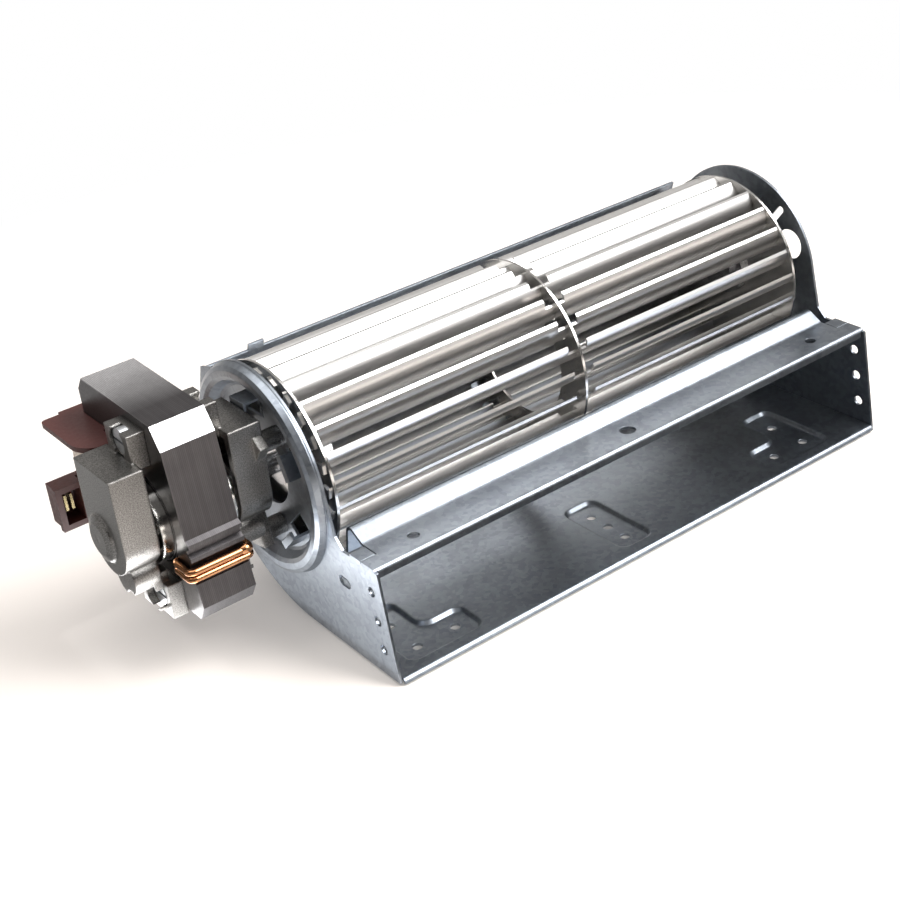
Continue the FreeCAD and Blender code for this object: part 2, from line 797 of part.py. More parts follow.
def hub_screw():
    x = drum_left_x + disc_thickness + hub_length * hub_screw_share
    foot = axis_z + motor_shaft_radius + hub_bore_clearance / 2
    screw = Part.makeCylinder(hub_screw_radius, hub_screw_length, vec(x, axis_y, foot), vec(0, 0, 1))
    floor = vec(x, axis_y, foot + hub_screw_length - hub_socket_depth)
    socket = Part.makeCylinder(hub_screw_radius * 0.5, hub_socket_depth, floor)
    return screw.cut(socket)


def stub_shaft():
    """Short shaft with a flange on the inside of the far disc."""
    x1 = drum_right_x - disc_thickness
    end = plate_outer_x + rubber_length / 2 + stub_end_proud
    body = rod(x1 - stub_flange_thickness, x1, stub_flange_radius)
    body = body.fuse(rod(x1 - stub_root, drum_right_x + stub_collar_proud, stub_collar_radius))
    return body.fuse(rod(x1 - stub_root, end, stub_shaft_radius))


def end_bearing_middle():
    return casing_half + sheet / 2


def ball_bush(middle, shaft_radius):
    """Sintered bush with a ball shaped outside."""
    ball = Part.makeSphere(bush_ball_radius, on_axis(middle), ALONG_X)
    ends = ring(middle - bush_length / 2, middle + bush_length / 2, bush_ball_radius + 1,
                shaft_radius + running_clearance)
    return ball.common(ends)


def bearing_mount():
    """Rubber ring that sits in the hole of the plate and holds the bush."""
    middle = end_bearing_middle()
    half = rubber_length / 2
    groove = sheet / 2
    inner = bush_ball_radius * rubber_bore_share
    outer = rubber_outer_radius
    rim = outer - rubber_edge
    floor = outer - rubber_groove_depth
    body = turned([
        (middle - half, inner), (middle - half, rim), (middle - half + rubber_edge, outer),
        (middle - groove, outer), (middle - groove, floor),
        (middle + groove, floor), (middle + groove, outer),
        (middle + half - rubber_edge, outer), (middle + half, rim), (middle + half, inner),
    ])
    pocket = Part.makeSphere(bush_ball_radius + ball_gap, on_axis(middle), ALONG_X)
    return body.cut(pocket)


def bearing_cap():
    """Pressed steel cap over the outer end of the far bearing."""
    x0 = end_bearing_middle() + rubber_length / 2
    crown_x = x0 + cap_depth
    shoulder_x = crown_x - cap_shoulder_length
    shoulder = cap_radius - cap_shoulder_inset
    crown = cap_radius - cap_crown_inset
    return turned([
        (x0, cap_radius), (shoulder_x, shoulder), (crown_x, crown), (crown_x, 0),
        (crown_x - cap_sheet, 0), (crown_x - cap_sheet, crown - cap_sheet / 2),
        (shoulder_x - cap_sheet / 2, shoulder - cap_sheet), (x0 + cap_sheet, shoulder),
        (x0 + cap_sheet, cap_radius + cap_rim), (x0, cap_radius + cap_rim),
    ])


window_front_y = axis_y + rotor_radius + air_gap + bore_bridge
window_back_y = window_front_y + coil_window_depth
stack_back_y = window_back_y + coil_core_depth
window_top_z = stack_top_z - yoke_height_top
window_bottom_z = stack_bottom_z + yoke_height_bottom


def shading_slot_centre(sign):
    """Centre of the slot that takes the copper turns. The other pole's slot lies opposite the axis."""
    return axis_y - sign * shading_slot_reach, axis_z - sign * shading_slot_drop


def pole_outline():
    """Outline of the pole frame as (y, z) pairs, from the crown over the back to the front."""
    toe_y = pole_face_y - toe_reach
    toe_top_z = shading_slot_centre(1)[1] - toe_gap
    tip_y = pole_face_y - tooth_reach
    root_half = tooth_half_height + tooth_slope
    teeth = []
    for drop in reversed(tooth_drops):
        z = axis_z - drop
        teeth += [(pole_face_y, z - root_half), (tip_y, z - tooth_half_height)]
        teeth += [(tip_y, z + tooth_half_height), (pole_face_y, z + root_half)]
    return [
        (pole_face_y + crown_setback, stack_top_z - crown_slope),
        (stack_back_y - crown_back_y_trim, stack_top_z),
        (stack_back_y, stack_top_z - crown_back_z_trim),
        (stack_back_y, window_top_z), (window_front_y, window_top_z),
        (window_front_y, window_bottom_z), (stack_back_y, window_bottom_z),
        (stack_back_y, stack_bottom_z + heel_trim), (stack_back_y - heel_trim, stack_bottom_z),
        (pole_face_y, stack_bottom_z), (toe_y, stack_bottom_z + toe_height),
        (pole_face_y - toe_shoulder, toe_top_z - tooth_slope), (pole_face_y, toe_top_z),
    ] + teeth + [(pole_face_y + shoulder_setback, stack_top_z - shoulder_drop)]


def pole_stack():
    """Laminated pole frame, open at the back where the coil core closes it."""
    body = prism_x(pole_outline(), stack_left_x, stack_right_x)
    body = body.cut(rod(stack_left_x - 1, stack_right_x + 1, rotor_radius + air_gap))
    half = shading_wire_radius + shading_gap
    for sign in (1, -1):
        y, z = shading_slot_centre(sign)
        body = body.cut(block(stack_left_x - 1, stack_right_x + 1, y - half, y + half,
                              z - 2 * half, z + 2 * half))
    for y, z in through_screw_points():
        body = body.cut(rod_at(stack_left_x - 1, stack_right_x + 1, screw_radius + seat_gap, y, z))
    return body


def through_screw_points():
    """Places of the two long screws that clamp both brackets on the stack."""
    return [(axis_y + screw_top_shift, stack_top_z - screw_top_drop),
            (axis_y + screw_low_shift, stack_bottom_z + screw_low_rise)]


def coil_core():
    """Laminated bar that carries the coil and closes the frame at the back."""
    return block(stack_left_x, stack_right_x, window_back_y, stack_back_y,
                 window_bottom_z + ball_gap, window_top_z - ball_gap)


def racetrack_tube(x0, x1, y0, y1, z, wire_radius, corner):
    """Closed loop of round wire in a level plane."""
    pieces = []
    runs = [
        (vec(x0 + corner, y0, z), vec(x1 - corner, y0, z)),
        (vec(x1, y0 + corner, z), vec(x1, y1 - corner, z)),
        (vec(x1 - corner, y1, z), vec(x0 + corner, y1, z)),
        (vec(x0, y1 - corner, z), vec(x0, y0 + corner, z)),
    ]
    for a, b in runs:
        if (b - a).Length > 0.01:
            pieces.append(Part.makeCylinder(wire_radius, (b - a).Length, a, b - a))
    corners = [
        (vec(x1 - corner, y0 + corner, z), runs[0][1], vec(1, 0, 0)),
        (vec(x1 - corner, y1 - corner, z), runs[1][1], vec(0, 1, 0)),
        (vec(x0 + corner, y1 - corner, z), runs[2][1], vec(-1, 0, 0)),
        (vec(x0 + corner, y0 + corner, z), runs[3][1], vec(0, -1, 0)),
    ]
    for centre, start, facing in corners:
        circle = Part.makeCircle(wire_radius, start, facing)
        face = Part.Face(Part.Wire(circle))
        pieces.append(face.revolve(centre, vec(0, 0, 1), 90))
    return pieces[0].fuse(pieces[1:]).removeSplitter()


def shading_ring(sign, level):
    """One closed copper turn round the edge of a pole. Two lie one above the other in each slot."""
    slot_y, slot_z = shading_slot_centre(sign)
    z = slot_z + level * (shading_wire_radius + shading_gap / 2)
    if sign > 0:
        y0 = pole_face_y - shading_wire_radius - shading_stand_off
        y1 = slot_y
    else:
        y0 = slot_y
        y1 = window_front_y + shading_wire_radius + shading_gap
    x0 = stack_left_x - shading_wire_radius - shading_gap
    x1 = stack_right_x + shading_wire_radius + shading_gap
    return racetrack_tube(x0, x1, y0, y1, z, shading_wire_radius, shading_corner * shading_wire_radius)


def cage_bars(x0, x1, radius):
    pitch = 360 / cage_bar_count
    places = [polar(0, rotor_radius - cage_bar_depth, i * pitch) for i in range(cage_bar_count)]
    return [rod_at(x0, x1, radius, place.y, place.z) for place in places]


def rotor_core():
    core = ring(stack_left_x, stack_right_x, rotor_radius, motor_shaft_radius + hub_bore_clearance)
    return core.cut(Part.makeCompound(cage_bars(stack_left_x - 1, stack_right_x + 1, cage_bar_radius)))


def rotor_cage():
    """Cast aluminium bars with a ring at each end."""
    outer = rotor_radius - air_gap
    inner = outer - cage_ring_wall
    cage = ring(stack_left_x - cage_ring_length, stack_left_x, outer, inner)
    cage = cage.fuse(ring(stack_right_x, stack_right_x + cage_ring_length, outer, inner))
    return cage.fuse(cage_bars(stack_left_x - cage_bar_overlap, stack_right_x + cage_bar_overlap,
                               cage_bar_radius - cage_bar_gap))


rim_x = stack_left_x - bracket_gap
face_x = rim_x - bracket_depth
outer_bush_middle = face_x + lobe_inset_x + bush_length / 2 - 1.6
stack_middle_x = (stack_left_x + stack_right_x) / 2
inner_bush_middle = 2 * stack_middle_x - outer_bush_middle
shaft_end_gap = 0.8


def motor_shaft():
    x0 = outer_bush_middle - bush_length / 2 - shaft_end_gap
    x1 = drum_left_x + disc_thickness + hub_length - 1.0
    return rod(x0, x1, motor_shaft_radius)


def bearing_hood():
    """Casting shared by both brackets, drawn on the free side: a hood, a dome, two prongs and a foot."""
    middle_y = axis_y + bracket_shift_y
    hood_top_z = stack_top_z - bracket_top_drop

    def hood(inset, x0, x1):
        reach = bracket_half_width - inset
        low = block(x0, x1, middle_y - reach, middle_y + reach, axis_z, hood_top_z - inset)
        return low.fuse(rod_at(x0, x1, reach, middle_y, axis_z))

    hollow = hood(bracket_wall, face_x + bracket_wall, rim_x + 1)
    dome_radius = bush_ball_radius + bracket_wall
    nose_x = outer_bush_middle - bush_length / 2 - bracket_wall
    dome_end_x = outer_bush_middle + bush_length / 2
    dome = turned([(nose_x, 0), (nose_x, dome_radius - dome_nose_trim),
                   (nose_x + dome_nose_length, dome_radius - dome_step),
                   (nose_x + dome_rise_length, dome_radius), (dome_end_x, dome_radius), (dome_end_x, 0)])
    body = hood(0, face_x, rim_x).cut(hollow).fuse(dome)
    (top_y, top_z), (low_y, low_z) = through_screw_points()
    plate_x = stack_left_x - foot_plate
    prong_top_z = stack_top_z - prong_top_drop
    body = body.fuse(block(plate_x, stack_left_x, top_y - prong_half_span, top_y + prong_half_span,
                           hood_top_z - bracket_wall, prong_top_z))
    for side in (-1, 1):
        prong_y = top_y + side * (prong_half_span - prong_thickness / 2)
        body = body.fuse(block(rim_x - prong_overlap, stack_left_x, prong_y - prong_thickness / 2,
                               prong_y + prong_thickness / 2, hood_top_z - bracket_wall, prong_top_z))
    lobe_z = axis_z - bracket_half_width - lobe_radius * 0.4
    lobe = rod_at(face_x + lobe_inset_x, rim_x, lobe_radius, middle_y + lobe_shift_y, lobe_z)
    body = body.fuse(lobe.cut(hollow))
    foot_low_z = low_z - foot_below_screw
    body = body.fuse(block(rim_x, stack_left_x, low_y - foot_half_width, low_y + foot_half_width,
                           foot_low_z, low_z + foot_above_screw))
    body = body.fuse(block(rim_x - foot_plate, rim_x + foot_plate, low_y - foot_half_width / 2,
                           low_y + foot_half_width, foot_low_z + foot_plate, lobe_z))
    body = body.cut(Part.makeSphere(bush_ball_radius + ball_gap, on_axis(outer_bush_middle), ALONG_X))
    body = body.cut(rod(outer_bush_middle, rim_x, mouth_radius))
    body = body.cut(rod(nose_x + 1.0, outer_bush_middle, motor_shaft_radius + 1.0))
    head_room = screw_head_radius + end_clearance
    for y, z in through_screw_points():
        body = body.cut(rod_at(face_x, stack_left_x + 1, screw_radius + seat_gap, y, z))
        body = body.cut(rod_at(face_x, plate_x, head_room, y, z))
    return body


def outer_bracket():
    """Bracket on the free side of the motor. Its nose is closed over the shaft end."""
    return bearing_hood()


def inner_bracket():
    """The same casting turned over, open for the shaft, with three legs that stand on the side plate."""
    body = bearing_hood().removeSplitter().mirror(vec(stack_middle_x, 0, 0), ALONG_X)
    back_x = 2 * stack_middle_x - face_x
    for place, angle in leg_places():
        body = body.fuse(turned_block(back_x - bracket_arm, back_x, bush_ball_radius + bracket_wall / 2,
                                      leg_radius + arm_width / 2, arm_width / 2, angle))
        body = body.fuse(rod_at(back_x - bracket_arm, dish_face_x, leg_post_radius, place.y, place.z))
    for place, angle in leg_places():
        body = body.cut(rod_at(dish_face_x - mounting_screw_length - 1, dish_face_x + 1,
                               screw_radius + seat_gap, place.y, place.z))
    return body.cut(rod(inner_bush_middle + 1, dish_face_x, motor_shaft_radius + 1.0))


def bush_retainer(middle, facing):
    """Spring washer that keeps the ball bush in its seat."""
    x = middle + facing * (bush_length / 2 + seat_gap)
    x0 = min(x, x + facing * retainer_thickness)
    bore = motor_shaft_radius + retainer_bore_gap
    return ring(x0, x0 + retainer_thickness, mouth_radius - seat_gap / 2, bore)


def thrust_washers():
    """One washer on the shaft at each end of the rotor."""
    washers = []
    for x, way in ((stack_left_x - cage_ring_length, -1), (stack_right_x + cage_ring_length, 1)):
        near = x + way * washer_gap
        far = near + way * washer_thickness
        washers.append(ring(min(near, far), max(near, far), washer_radius, motor_shaft_radius + seat_gap / 2))
    return Part.makeCompound(washers)


def through_screws():
    """Two long pan head screws through the outer bracket, the stack and the inner bracket."""
    screws = []
    head_x = stack_left_x - foot_plate
    end_x = stack_right_x + foot_plate + bracket_wall
    for y, z in through_screw_points():
        shank = rod_at(head_x, end_x, screw_radius, y, z)
        head = rod_at(head_x - screw_head_height, head_x, screw_head_radius, y, z)
        slot = block(head_x - screw_head_height, head_x - screw_head_height + screw_slot_depth,
                     y - screw_head_radius - 1, y + screw_head_radius + 1,
                     z - screw_slot_half_width, z + screw_slot_half_width)
        screws.append(shank.fuse(head).cut(slot))
    return Part.makeCompound(screws)


def mounting_screws():
    """Three screws from inside the side plate into the legs of the inner bracket."""
    screws = []
    inside_x = dish_face_x + sheet
    for place, angle in leg_places():
        shank = rod_at(dish_face_x - mounting_screw_length, inside_x, screw_radius, place.y, place.z)
        head = rod_at(inside_x, inside_x + mounting_head_height, screw_head_radius, place.y, place.z)
        screws.append(shank.fuse(head))
    return Part.makeCompound(screws)


coil_front_y = window_front_y + 2 * shading_wire_radius + 3 * shading_gap


def coil_space():
    """Box of the winding round the coil core: outer limits in X and Y."""
    wall = bobbin_wall + 0.1
    return (stack_left_x - wall, stack_right_x + wall, window_back_y - wall, stack_back_y + wall)


def socket_corner():
    """Low front corner of the supply socket, at its mouth."""
    left_x = coil_space()[0] - coil_build - socket_width
    return vec(left_x, socket_mouth_y, window_bottom_z + socket_lift)


def wing_plate(z0, z1, right_x):
    """Upper cheek of the spool: it runs out beyond the coil with a round corner at the front."""
    left_x = coil_space()[0] - wing_reach
    turn = wing_corner * (1 - math.sqrt(0.5))
    tip = wing_tip_radius * (1 - math.sqrt(0.5))
    tip_end = vec(left_x + wing_tip_radius, wing_back_y, z0)
    tip_start = vec(left_x, wing_back_y - wing_tip_radius, z0)
    round_end = vec(left_x, wing_front_y + wing_corner, z0)
    round_start = vec(left_x + wing_corner, wing_front_y, z0)
    front = vec(right_x, wing_front_y, z0)
    back = vec(right_x, wing_back_y, z0)
    edges = [
        Part.LineSegment(back, tip_end).toShape(),
        Part.Arc(tip_end, vec(left_x + tip, wing_back_y - tip, z0), tip_start).toShape(),
        Part.LineSegment(tip_start, round_end).toShape(),
        Part.Arc(round_end, vec(left_x + turn, wing_front_y + turn, z0), round_start).toShape(),
        Part.LineSegment(round_start, front).toShape(),
        Part.LineSegment(front, back).toShape(),
    ]
    return Part.Face(Part.Wire(edges)).extrude(vec(0, 0, z1 - z0))


def bobbin():
    """Moulded spool with a wide upper cheek and a socket for the supply plug."""
    x0, x1, y0, y1 = coil_space()
    z0 = window_bottom_z + seat_gap
    z1 = window_top_z - seat_gap
    core = block(stack_left_x - seat_gap, stack_right_x + seat_gap, window_back_y - seat_gap,
                 stack_back_y + seat_gap, z0 - 1, z1 + 1)
    front = coil_front_y - seat_gap
    back = y1 + coil_build
    spool = block(x0, x1, y0, y1, z0, z1)
    low = block(x0 - coil_build, x1 + coil_build, front, back, z0, z0 + bobbin_flange)
    high = block(x0 - coil_build, x1 + coil_build, front, back, z1 - bobbin_flange, z1)
    plate = wing_plate(z1 - bobbin_flange, z1, x0 - seat_gap)
    place = socket_corner()
    shell = block(place.x, x0 - coil_build, place.y, socket_back_y, place.z, place.z + socket_height)
    rim = block(place.x - socket_rim, x0 - coil_build, place.y, place.y + socket_rim_length,
                place.z - socket_rim, place.z + socket_height + socket_rim)
    mouth = block(place.x + socket_wall, place.x + socket_width - socket_wall, place.y - 1,
                  socket_back_y - socket_wall, place.z + socket_wall, place.z + socket_height - socket_wall)
    web = block(place.x, x0, back - winding_trim + seat_gap, socket_back_y, z0, place.z + socket_height)
    body = spool.fuse([low, high, plate, shell, rim, web])
    return body.cut(mouth).cut(core)


def coil_winding():
    x0, x1, y0, y1 = coil_space()
    z0 = window_bottom_z + seat_gap + bobbin_flange
    z1 = window_top_z - seat_gap - bobbin_flange
    build = coil_build - winding_trim
    outer = block(x0 - build, x1 + build, coil_front_y, y1 + build, z0, z1)
    upright = [e for e in outer.Edges if abs(e.tangentAt(e.FirstParameter).z) > 0.9]
    outer = outer.makeFillet(coil_corner, upright)
    return outer.cut(block(x0, x1, y0, y1, z0 - 1, z1 + 1))


def terminal_pins():
    """Two flat pins that stand in the floor of the socket."""
    place = socket_corner()
    back = socket_back_y - socket_wall
    pins = []
    for part in (1, 2):
        x = place.x + socket_wall + part * (socket_width - 2 * socket_wall) / 3
        middle_z = place.z + socket_height / 2
        pins.append(block(x - pin_thickness / 2, x + pin_thickness / 2, back - pin_length, back,
                          middle_z - pin_width / 2, middle_z + pin_width / 2))
    return Part.makeCompound(pins)


os.makedirs("parts", exist_ok=True)
save("scroll_wall", scroll_wall())
save("front_wall", front_wall())
save("motor_side_plate", motor_side_plate())
save("bearing_side_plate", bearing_side_plate())
save("motor_end_disc", slotted_disc(drum_left_x, hub_radius + hub_bore_clearance))
save("middle_disc", slotted_disc(drum_middle_x - disc_thickness / 2, middle_disc_hole_radius))
save("bearing_end_disc", slotted_disc(drum_right_x - disc_thickness, stub_collar_radius + hub_bore_clearance))
for number in range(blade_count):
    save("blade_%02d" % (number + 1), blade(number))
save("drive_hub", drive_hub())
save("hub_screw", hub_screw())
save("stub_shaft", stub_shaft())
save("end_bearing", ball_bush(end_bearing_middle(), stub_shaft_radius))
save("bearing_mount", bearing_mount())
save("bearing_cap", bearing_cap())
save("pole_stack", pole_stack())
save("coil_core", coil_core())
save("bobbin", bobbin())
save("coil_winding", coil_winding())
save("terminal_pins", terminal_pins())
save("front_shading_ring_upper", shading_ring(1, 1))
save("front_shading_ring_lower", shading_ring(1, -1))
save("back_shading_ring_upper", shading_ring(-1, 1))
save("back_shading_ring_lower", shading_ring(-1, -1))
save("rotor_core", rotor_core())
save("rotor_cage", rotor_cage())
save("motor_shaft", motor_shaft())
save("outer_bracket", outer_bracket())
save("inner_bracket", inner_bracket())
save("outer_bush", ball_bush(outer_bush_middle, motor_shaft_radius))
save("inner_bush", ball_bush(inner_bush_middle, motor_shaft_radius))
save("outer_retainer", bush_retainer(outer_bush_middle, 1))
save("inner_retainer", bush_retainer(inner_bush_middle, -1))
save("thrust_washers", thrust_washers())
save("through_screws", through_screws())
save("mounting_screws", mounting_screws())
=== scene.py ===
# %% [markdown]
# # A cross flow fan, dressed around its measured frame
#
# The real object is a small blower from a heater or an oven: a drum of thin
# aluminium blades, a casing folded from zinc coated sheet and an open motor
# with a laminated iron frame. The measured solids are loaded first and are
# never moved. This lesson gives each of them the surface that the real one
# has, adds the fine pieces that the solids leave out, and lights the whole
# like a product picture on a white table.

# %% Load the frame
import json
import math

import bmesh
import bpy
from mathutils import Matrix, Vector


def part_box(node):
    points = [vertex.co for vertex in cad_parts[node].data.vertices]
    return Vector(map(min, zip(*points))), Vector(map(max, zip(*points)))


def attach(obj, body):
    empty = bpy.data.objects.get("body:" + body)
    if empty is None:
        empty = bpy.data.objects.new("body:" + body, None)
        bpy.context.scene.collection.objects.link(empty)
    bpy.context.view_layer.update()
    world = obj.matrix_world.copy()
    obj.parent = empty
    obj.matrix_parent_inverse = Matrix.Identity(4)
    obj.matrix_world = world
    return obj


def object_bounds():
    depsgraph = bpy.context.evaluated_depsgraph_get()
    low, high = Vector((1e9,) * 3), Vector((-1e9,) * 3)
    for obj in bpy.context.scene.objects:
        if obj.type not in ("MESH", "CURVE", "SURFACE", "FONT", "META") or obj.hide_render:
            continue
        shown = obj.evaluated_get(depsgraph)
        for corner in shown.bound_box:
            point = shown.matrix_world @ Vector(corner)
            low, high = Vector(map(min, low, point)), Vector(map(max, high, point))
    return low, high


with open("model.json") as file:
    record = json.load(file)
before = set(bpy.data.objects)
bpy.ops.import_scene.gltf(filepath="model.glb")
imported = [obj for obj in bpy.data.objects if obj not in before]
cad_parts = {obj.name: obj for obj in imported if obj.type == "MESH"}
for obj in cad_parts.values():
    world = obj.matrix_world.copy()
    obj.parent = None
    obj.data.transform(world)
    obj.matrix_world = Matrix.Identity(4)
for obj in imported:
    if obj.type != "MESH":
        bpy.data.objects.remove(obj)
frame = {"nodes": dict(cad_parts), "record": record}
cad_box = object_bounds()
nodes = frame["nodes"]

# %% [markdown]
# ## The camera
#
# The picture was taken from the left and above, with a long lens. A camera
# could be placed by eye, but then the long edges run a little off. Here the
# place and the three directions come from the corners of the casing seen in
# the picture, so the same corners fall on the same spots in the render.

# %% Set the camera
camera_place = Vector((-0.2695, -0.3077, 0.2260))
camera_right = Vector((0.7912, -0.6029, -0.1026)).normalized()
camera_up = Vector((0.3673, 0.3343, 0.8680)).normalized()
lens_mm = 64.9
sensor_mm = 36.0


def make_camera():
    data = bpy.data.cameras.new("camera")
    data.lens = lens_mm
    data.sensor_width = sensor_mm
    camera = bpy.data.objects.new("camera", data)
    bpy.context.scene.collection.objects.link(camera)
    back = camera_right.cross(camera_up).normalized()
    up = back.cross(camera_right)
    turn = Matrix((camera_right, up, back)).transposed().to_4x4()
    camera.matrix_world = Matrix.Translation(camera_place) @ turn
    bpy.context.scene.camera = camera


make_camera()
print("camera looks along", tuple(round(v, 3) for v in camera_up.cross(camera_right)))

# %% [markdown]
# ## Helpers for materials
#
# A material is a small graph of nodes. Writing each node by hand takes many
# lines, so a few helpers do it: one adds a node and fills or links its
# inputs, others do a sum, blend two colours or stretch a range.

# %% Node helpers
COLUMN = 190


def add_node(tree, kind, inputs=None, **settings):
    made = tree.nodes.new(kind)
    made.location = (COLUMN * len(tree.nodes), 0)
    for name, value in settings.items():
        setattr(made, name, value)
    for name, value in (inputs or {}).items():
        if isinstance(value, bpy.types.NodeSocket):
            tree.links.new(value, made.inputs[name])
        else:
            made.inputs[name].default_value = value
    return made


def math_node(tree, operation, first, second=0.0, third=0.0):
    values = {0: first, 1: second, 2: third}
    return add_node(tree, "ShaderNodeMath", values, operation=operation).outputs[0]


def scale_range(tree, value, low, high, from_low=0.0, from_high=1.0):
    inputs = {
        "Value": value,
        "From Min": from_low,
        "From Max": from_high,
        "To Min": low,
        "To Max": high,
    }
    return add_node(tree, "ShaderNodeMapRange", inputs).outputs["Result"]


def as_colour(value):
    return value if isinstance(value, bpy.types.NodeSocket) else (*value, 1.0)


def blend_colours(tree, share, low, high, blend="MIX"):
    inputs = {0: share, 6: as_colour(low), 7: as_colour(high)}
    settings = {"data_type": "RGBA", "blend_type": blend}
    return add_node(tree, "ShaderNodeMix", inputs, **settings).outputs[2]


print("node helpers ready")

# %% [markdown]
# ## Places and soft edges
#
# A pattern needs a place to be measured from. The real sheet carries its
# crystals with it, so every pattern here is measured in the piece's own
# coordinates. A real edge is never quite sharp either: the Bevel node rounds
# the light on an edge and leaves the measured solid as it is.

# %% Place helpers
BEVEL_SAMPLES = 4


def object_place(tree):
    return add_node(tree, "ShaderNodeTexCoord").outputs["Object"]


def object_axis(tree, axis):
    parts = add_node(tree, "ShaderNodeSeparateXYZ", {"Vector": object_place(tree)})
    return parts.outputs[axis]


def soft_edges(tree, radius):
    bevel = add_node(tree, "ShaderNodeBevel", {"Radius": radius}, samples=BEVEL_SAMPLES)
    return bevel.outputs["Normal"]


def noise(tree, place, scale, detail):
    inputs = {"Vector": place, "Scale": scale, "Detail": detail}
    return add_node(tree, "ShaderNodeTexNoise", inputs)


print("place helpers ready")

# %% [markdown]
# ## Starting and finishing a material
#
# Each material starts as one Principled shader. Numbers that are the same
# all over the piece are written on the shader itself. Colour, roughness and
# relief change from spot to spot, so these three come from nodes. Each range
# of roughness stays wholly below or wholly above about 0.27: the denoiser
# treats sharper metal in another way, and a range that crosses that value
# gives blotches.

# %% Material helpers
# Most of a noise lies between these two values.
NOISE_BAND = (0.3, 0.7)


def start_material(name, **constants):
    material = bpy.data.materials.new(name)
    material.use_nodes = True
    tree = material.node_tree
    shader = tree.nodes["Principled BSDF"]
    for label, value in constants.items():
        socket = shader.inputs[label.replace("_", " ")]
        socket.default_value = as_colour(value) if isinstance(value, tuple) else value
    return material, tree, shader


def finish_surface(tree, shader, colour, rough, relief=None):
    tree.links.new(colour, shader.inputs["Base Color"])
    tree.links.new(rough, shader.inputs["Roughness"])
    if relief:
        bump = add_node(tree, "ShaderNodeBump", relief)
        tree.links.new(bump.outputs["Normal"], shader.inputs["Normal"])


def multiply_shade(tree, colour, value):
    grey = add_node(tree, "ShaderNodeCombineColor", {0: value, 1: value, 2: value}).outputs[0]
    return blend_colours(tree, 1.0, colour, grey, "MULTIPLY")


print("material helpers ready")

# %% [markdown]
# ## Shared effects
#
# Sheet metal, castings and turned parts share a few kinds of detail: zinc
# crystals, rolling streaks, a blasted grain, the edges of stacked sheets and
# turned rings. Each is a node group that is built once and used by every
# material that shows it. It could be painted by hand too, but a procedural
# effect stays sharp at every distance and needs no picture file.

# %% Group helpers
def start_group(name, inputs, outputs):
    group = bpy.data.node_groups.new(name, "ShaderNodeTree")
    for label, value in inputs.items():
        socket = group.interface.new_socket(label, in_out="INPUT", socket_type="NodeSocketFloat")
        socket.default_value = value
    for label in outputs:
        group.interface.new_socket(label, in_out="OUTPUT", socket_type="NodeSocketFloat")
    return group, group.nodes.new("NodeGroupInput").outputs, group.nodes.new("NodeGroupOutput")


def close_group(group, leave, **results):
    for label, socket in results.items():
        group.links.new(socket, leave.inputs[label])
    print("effect:", group.name, "gives", sorted(results))
    return group


def use_group(tree, group, **values):
    return add_node(tree, "ShaderNodeGroup", values, node_tree=group).outputs


print("group helpers ready")

# %% [markdown]
# ### Zinc crystals
#
# Molten zinc freezes into flat crystals, each with its own tilt and so its
# own brightness. Voronoi cells have the same kind of borders. A small noise
# pushes the borders about, because real crystals aren't so regular, and a
# slow noise adds the clouds where the zinc is duller.

# %% The zinc crystals
border_wobble = 0.0016
crystal_contrast = 0.6


def make_spangle():
    group, entry, leave = start_group(
        "zinc_spangle", {"Size": 0.004, "Blur": 0.5}, ("Crystal", "Cloud", "Grain")
    )
    place = object_place(group)
    wobble = noise(group, place, scale=260.0, detail=3.0).outputs["Color"]
    push = {0: wobble, 1: (border_wobble, border_wobble, border_wobble), 2: place}
    pushed = add_node(group, "ShaderNodeVectorMath", push, operation="MULTIPLY_ADD")
    density = math_node(group, "DIVIDE", 1.0, entry["Size"])
    cell_inputs = {"Vector": pushed.outputs[0], "Scale": density}
    cells = add_node(group, "ShaderNodeTexVoronoi", cell_inputs, feature="F1")
    tint = add_node(group, "ShaderNodeSeparateColor", {"Color": cells.outputs["Color"]})
    cloud = noise(group, place, scale=34.0, detail=5.0).outputs["Fac"]
    grain = noise(group, place, scale=2400.0, detail=2.0).outputs["Fac"]
    soft = math_node(group, "MULTIPLY", entry["Blur"], cloud)
    crystal = math_node(group, "MULTIPLY_ADD", tint.outputs[0], crystal_contrast, soft)
    return close_group(group, leave, Crystal=crystal, Cloud=cloud, Grain=grain)


spangle = make_spangle()

# %% [markdown]
# ### Rolling streaks
#
# Strip metal leaves the rolls with fine lines along its length. A noise that
# is squeezed across the fan and left long along it draws the same lines.

# %% Rolling streaks along the fan
def make_streaks():
    group, entry, leave = start_group(
        "rolling_streaks", {"Along": 6.0, "Across": 900.0}, ("Streak", "Broad")
    )
    squeeze = {"X": entry["Along"], "Y": entry["Across"], "Z": entry["Across"]}
    stretch = add_node(group, "ShaderNodeCombineXYZ", squeeze).outputs[0]
    product = {0: object_place(group), 1: stretch}
    place = add_node(group, "ShaderNodeVectorMath", product, operation="MULTIPLY").outputs[0]
    fine = noise(group, place, scale=1.0, detail=3.0).outputs["Fac"]
    broad = noise(group, place, scale=0.16, detail=2.0).outputs["Fac"]
    return close_group(group, leave, Streak=fine, Broad=broad)


streaks = make_streaks()

# %% [markdown]
# ### Cast grain
#
# A blasted casting, a moulding and a drawn wire all have a fine grain with
# slower patches in it. One group with a scale serves them all.

# %% The blasted or cast grain
def make_grain():
    group, entry, leave = start_group(
        "cast_grain", {"Scale": 1500.0}, ("Speck", "Patch", "Height")
    )
    place = object_place(group)
    speck = noise(group, place, scale=entry["Scale"], detail=4.0).outputs["Fac"]
    patch = noise(group, place, scale=70.0, detail=4.0).outputs["Fac"]
    sharp = scale_range(group, speck, 0.0, 1.0, from_low=0.36, from_high=0.64)
    return close_group(group, leave, Speck=sharp, Patch=patch, Height=speck)


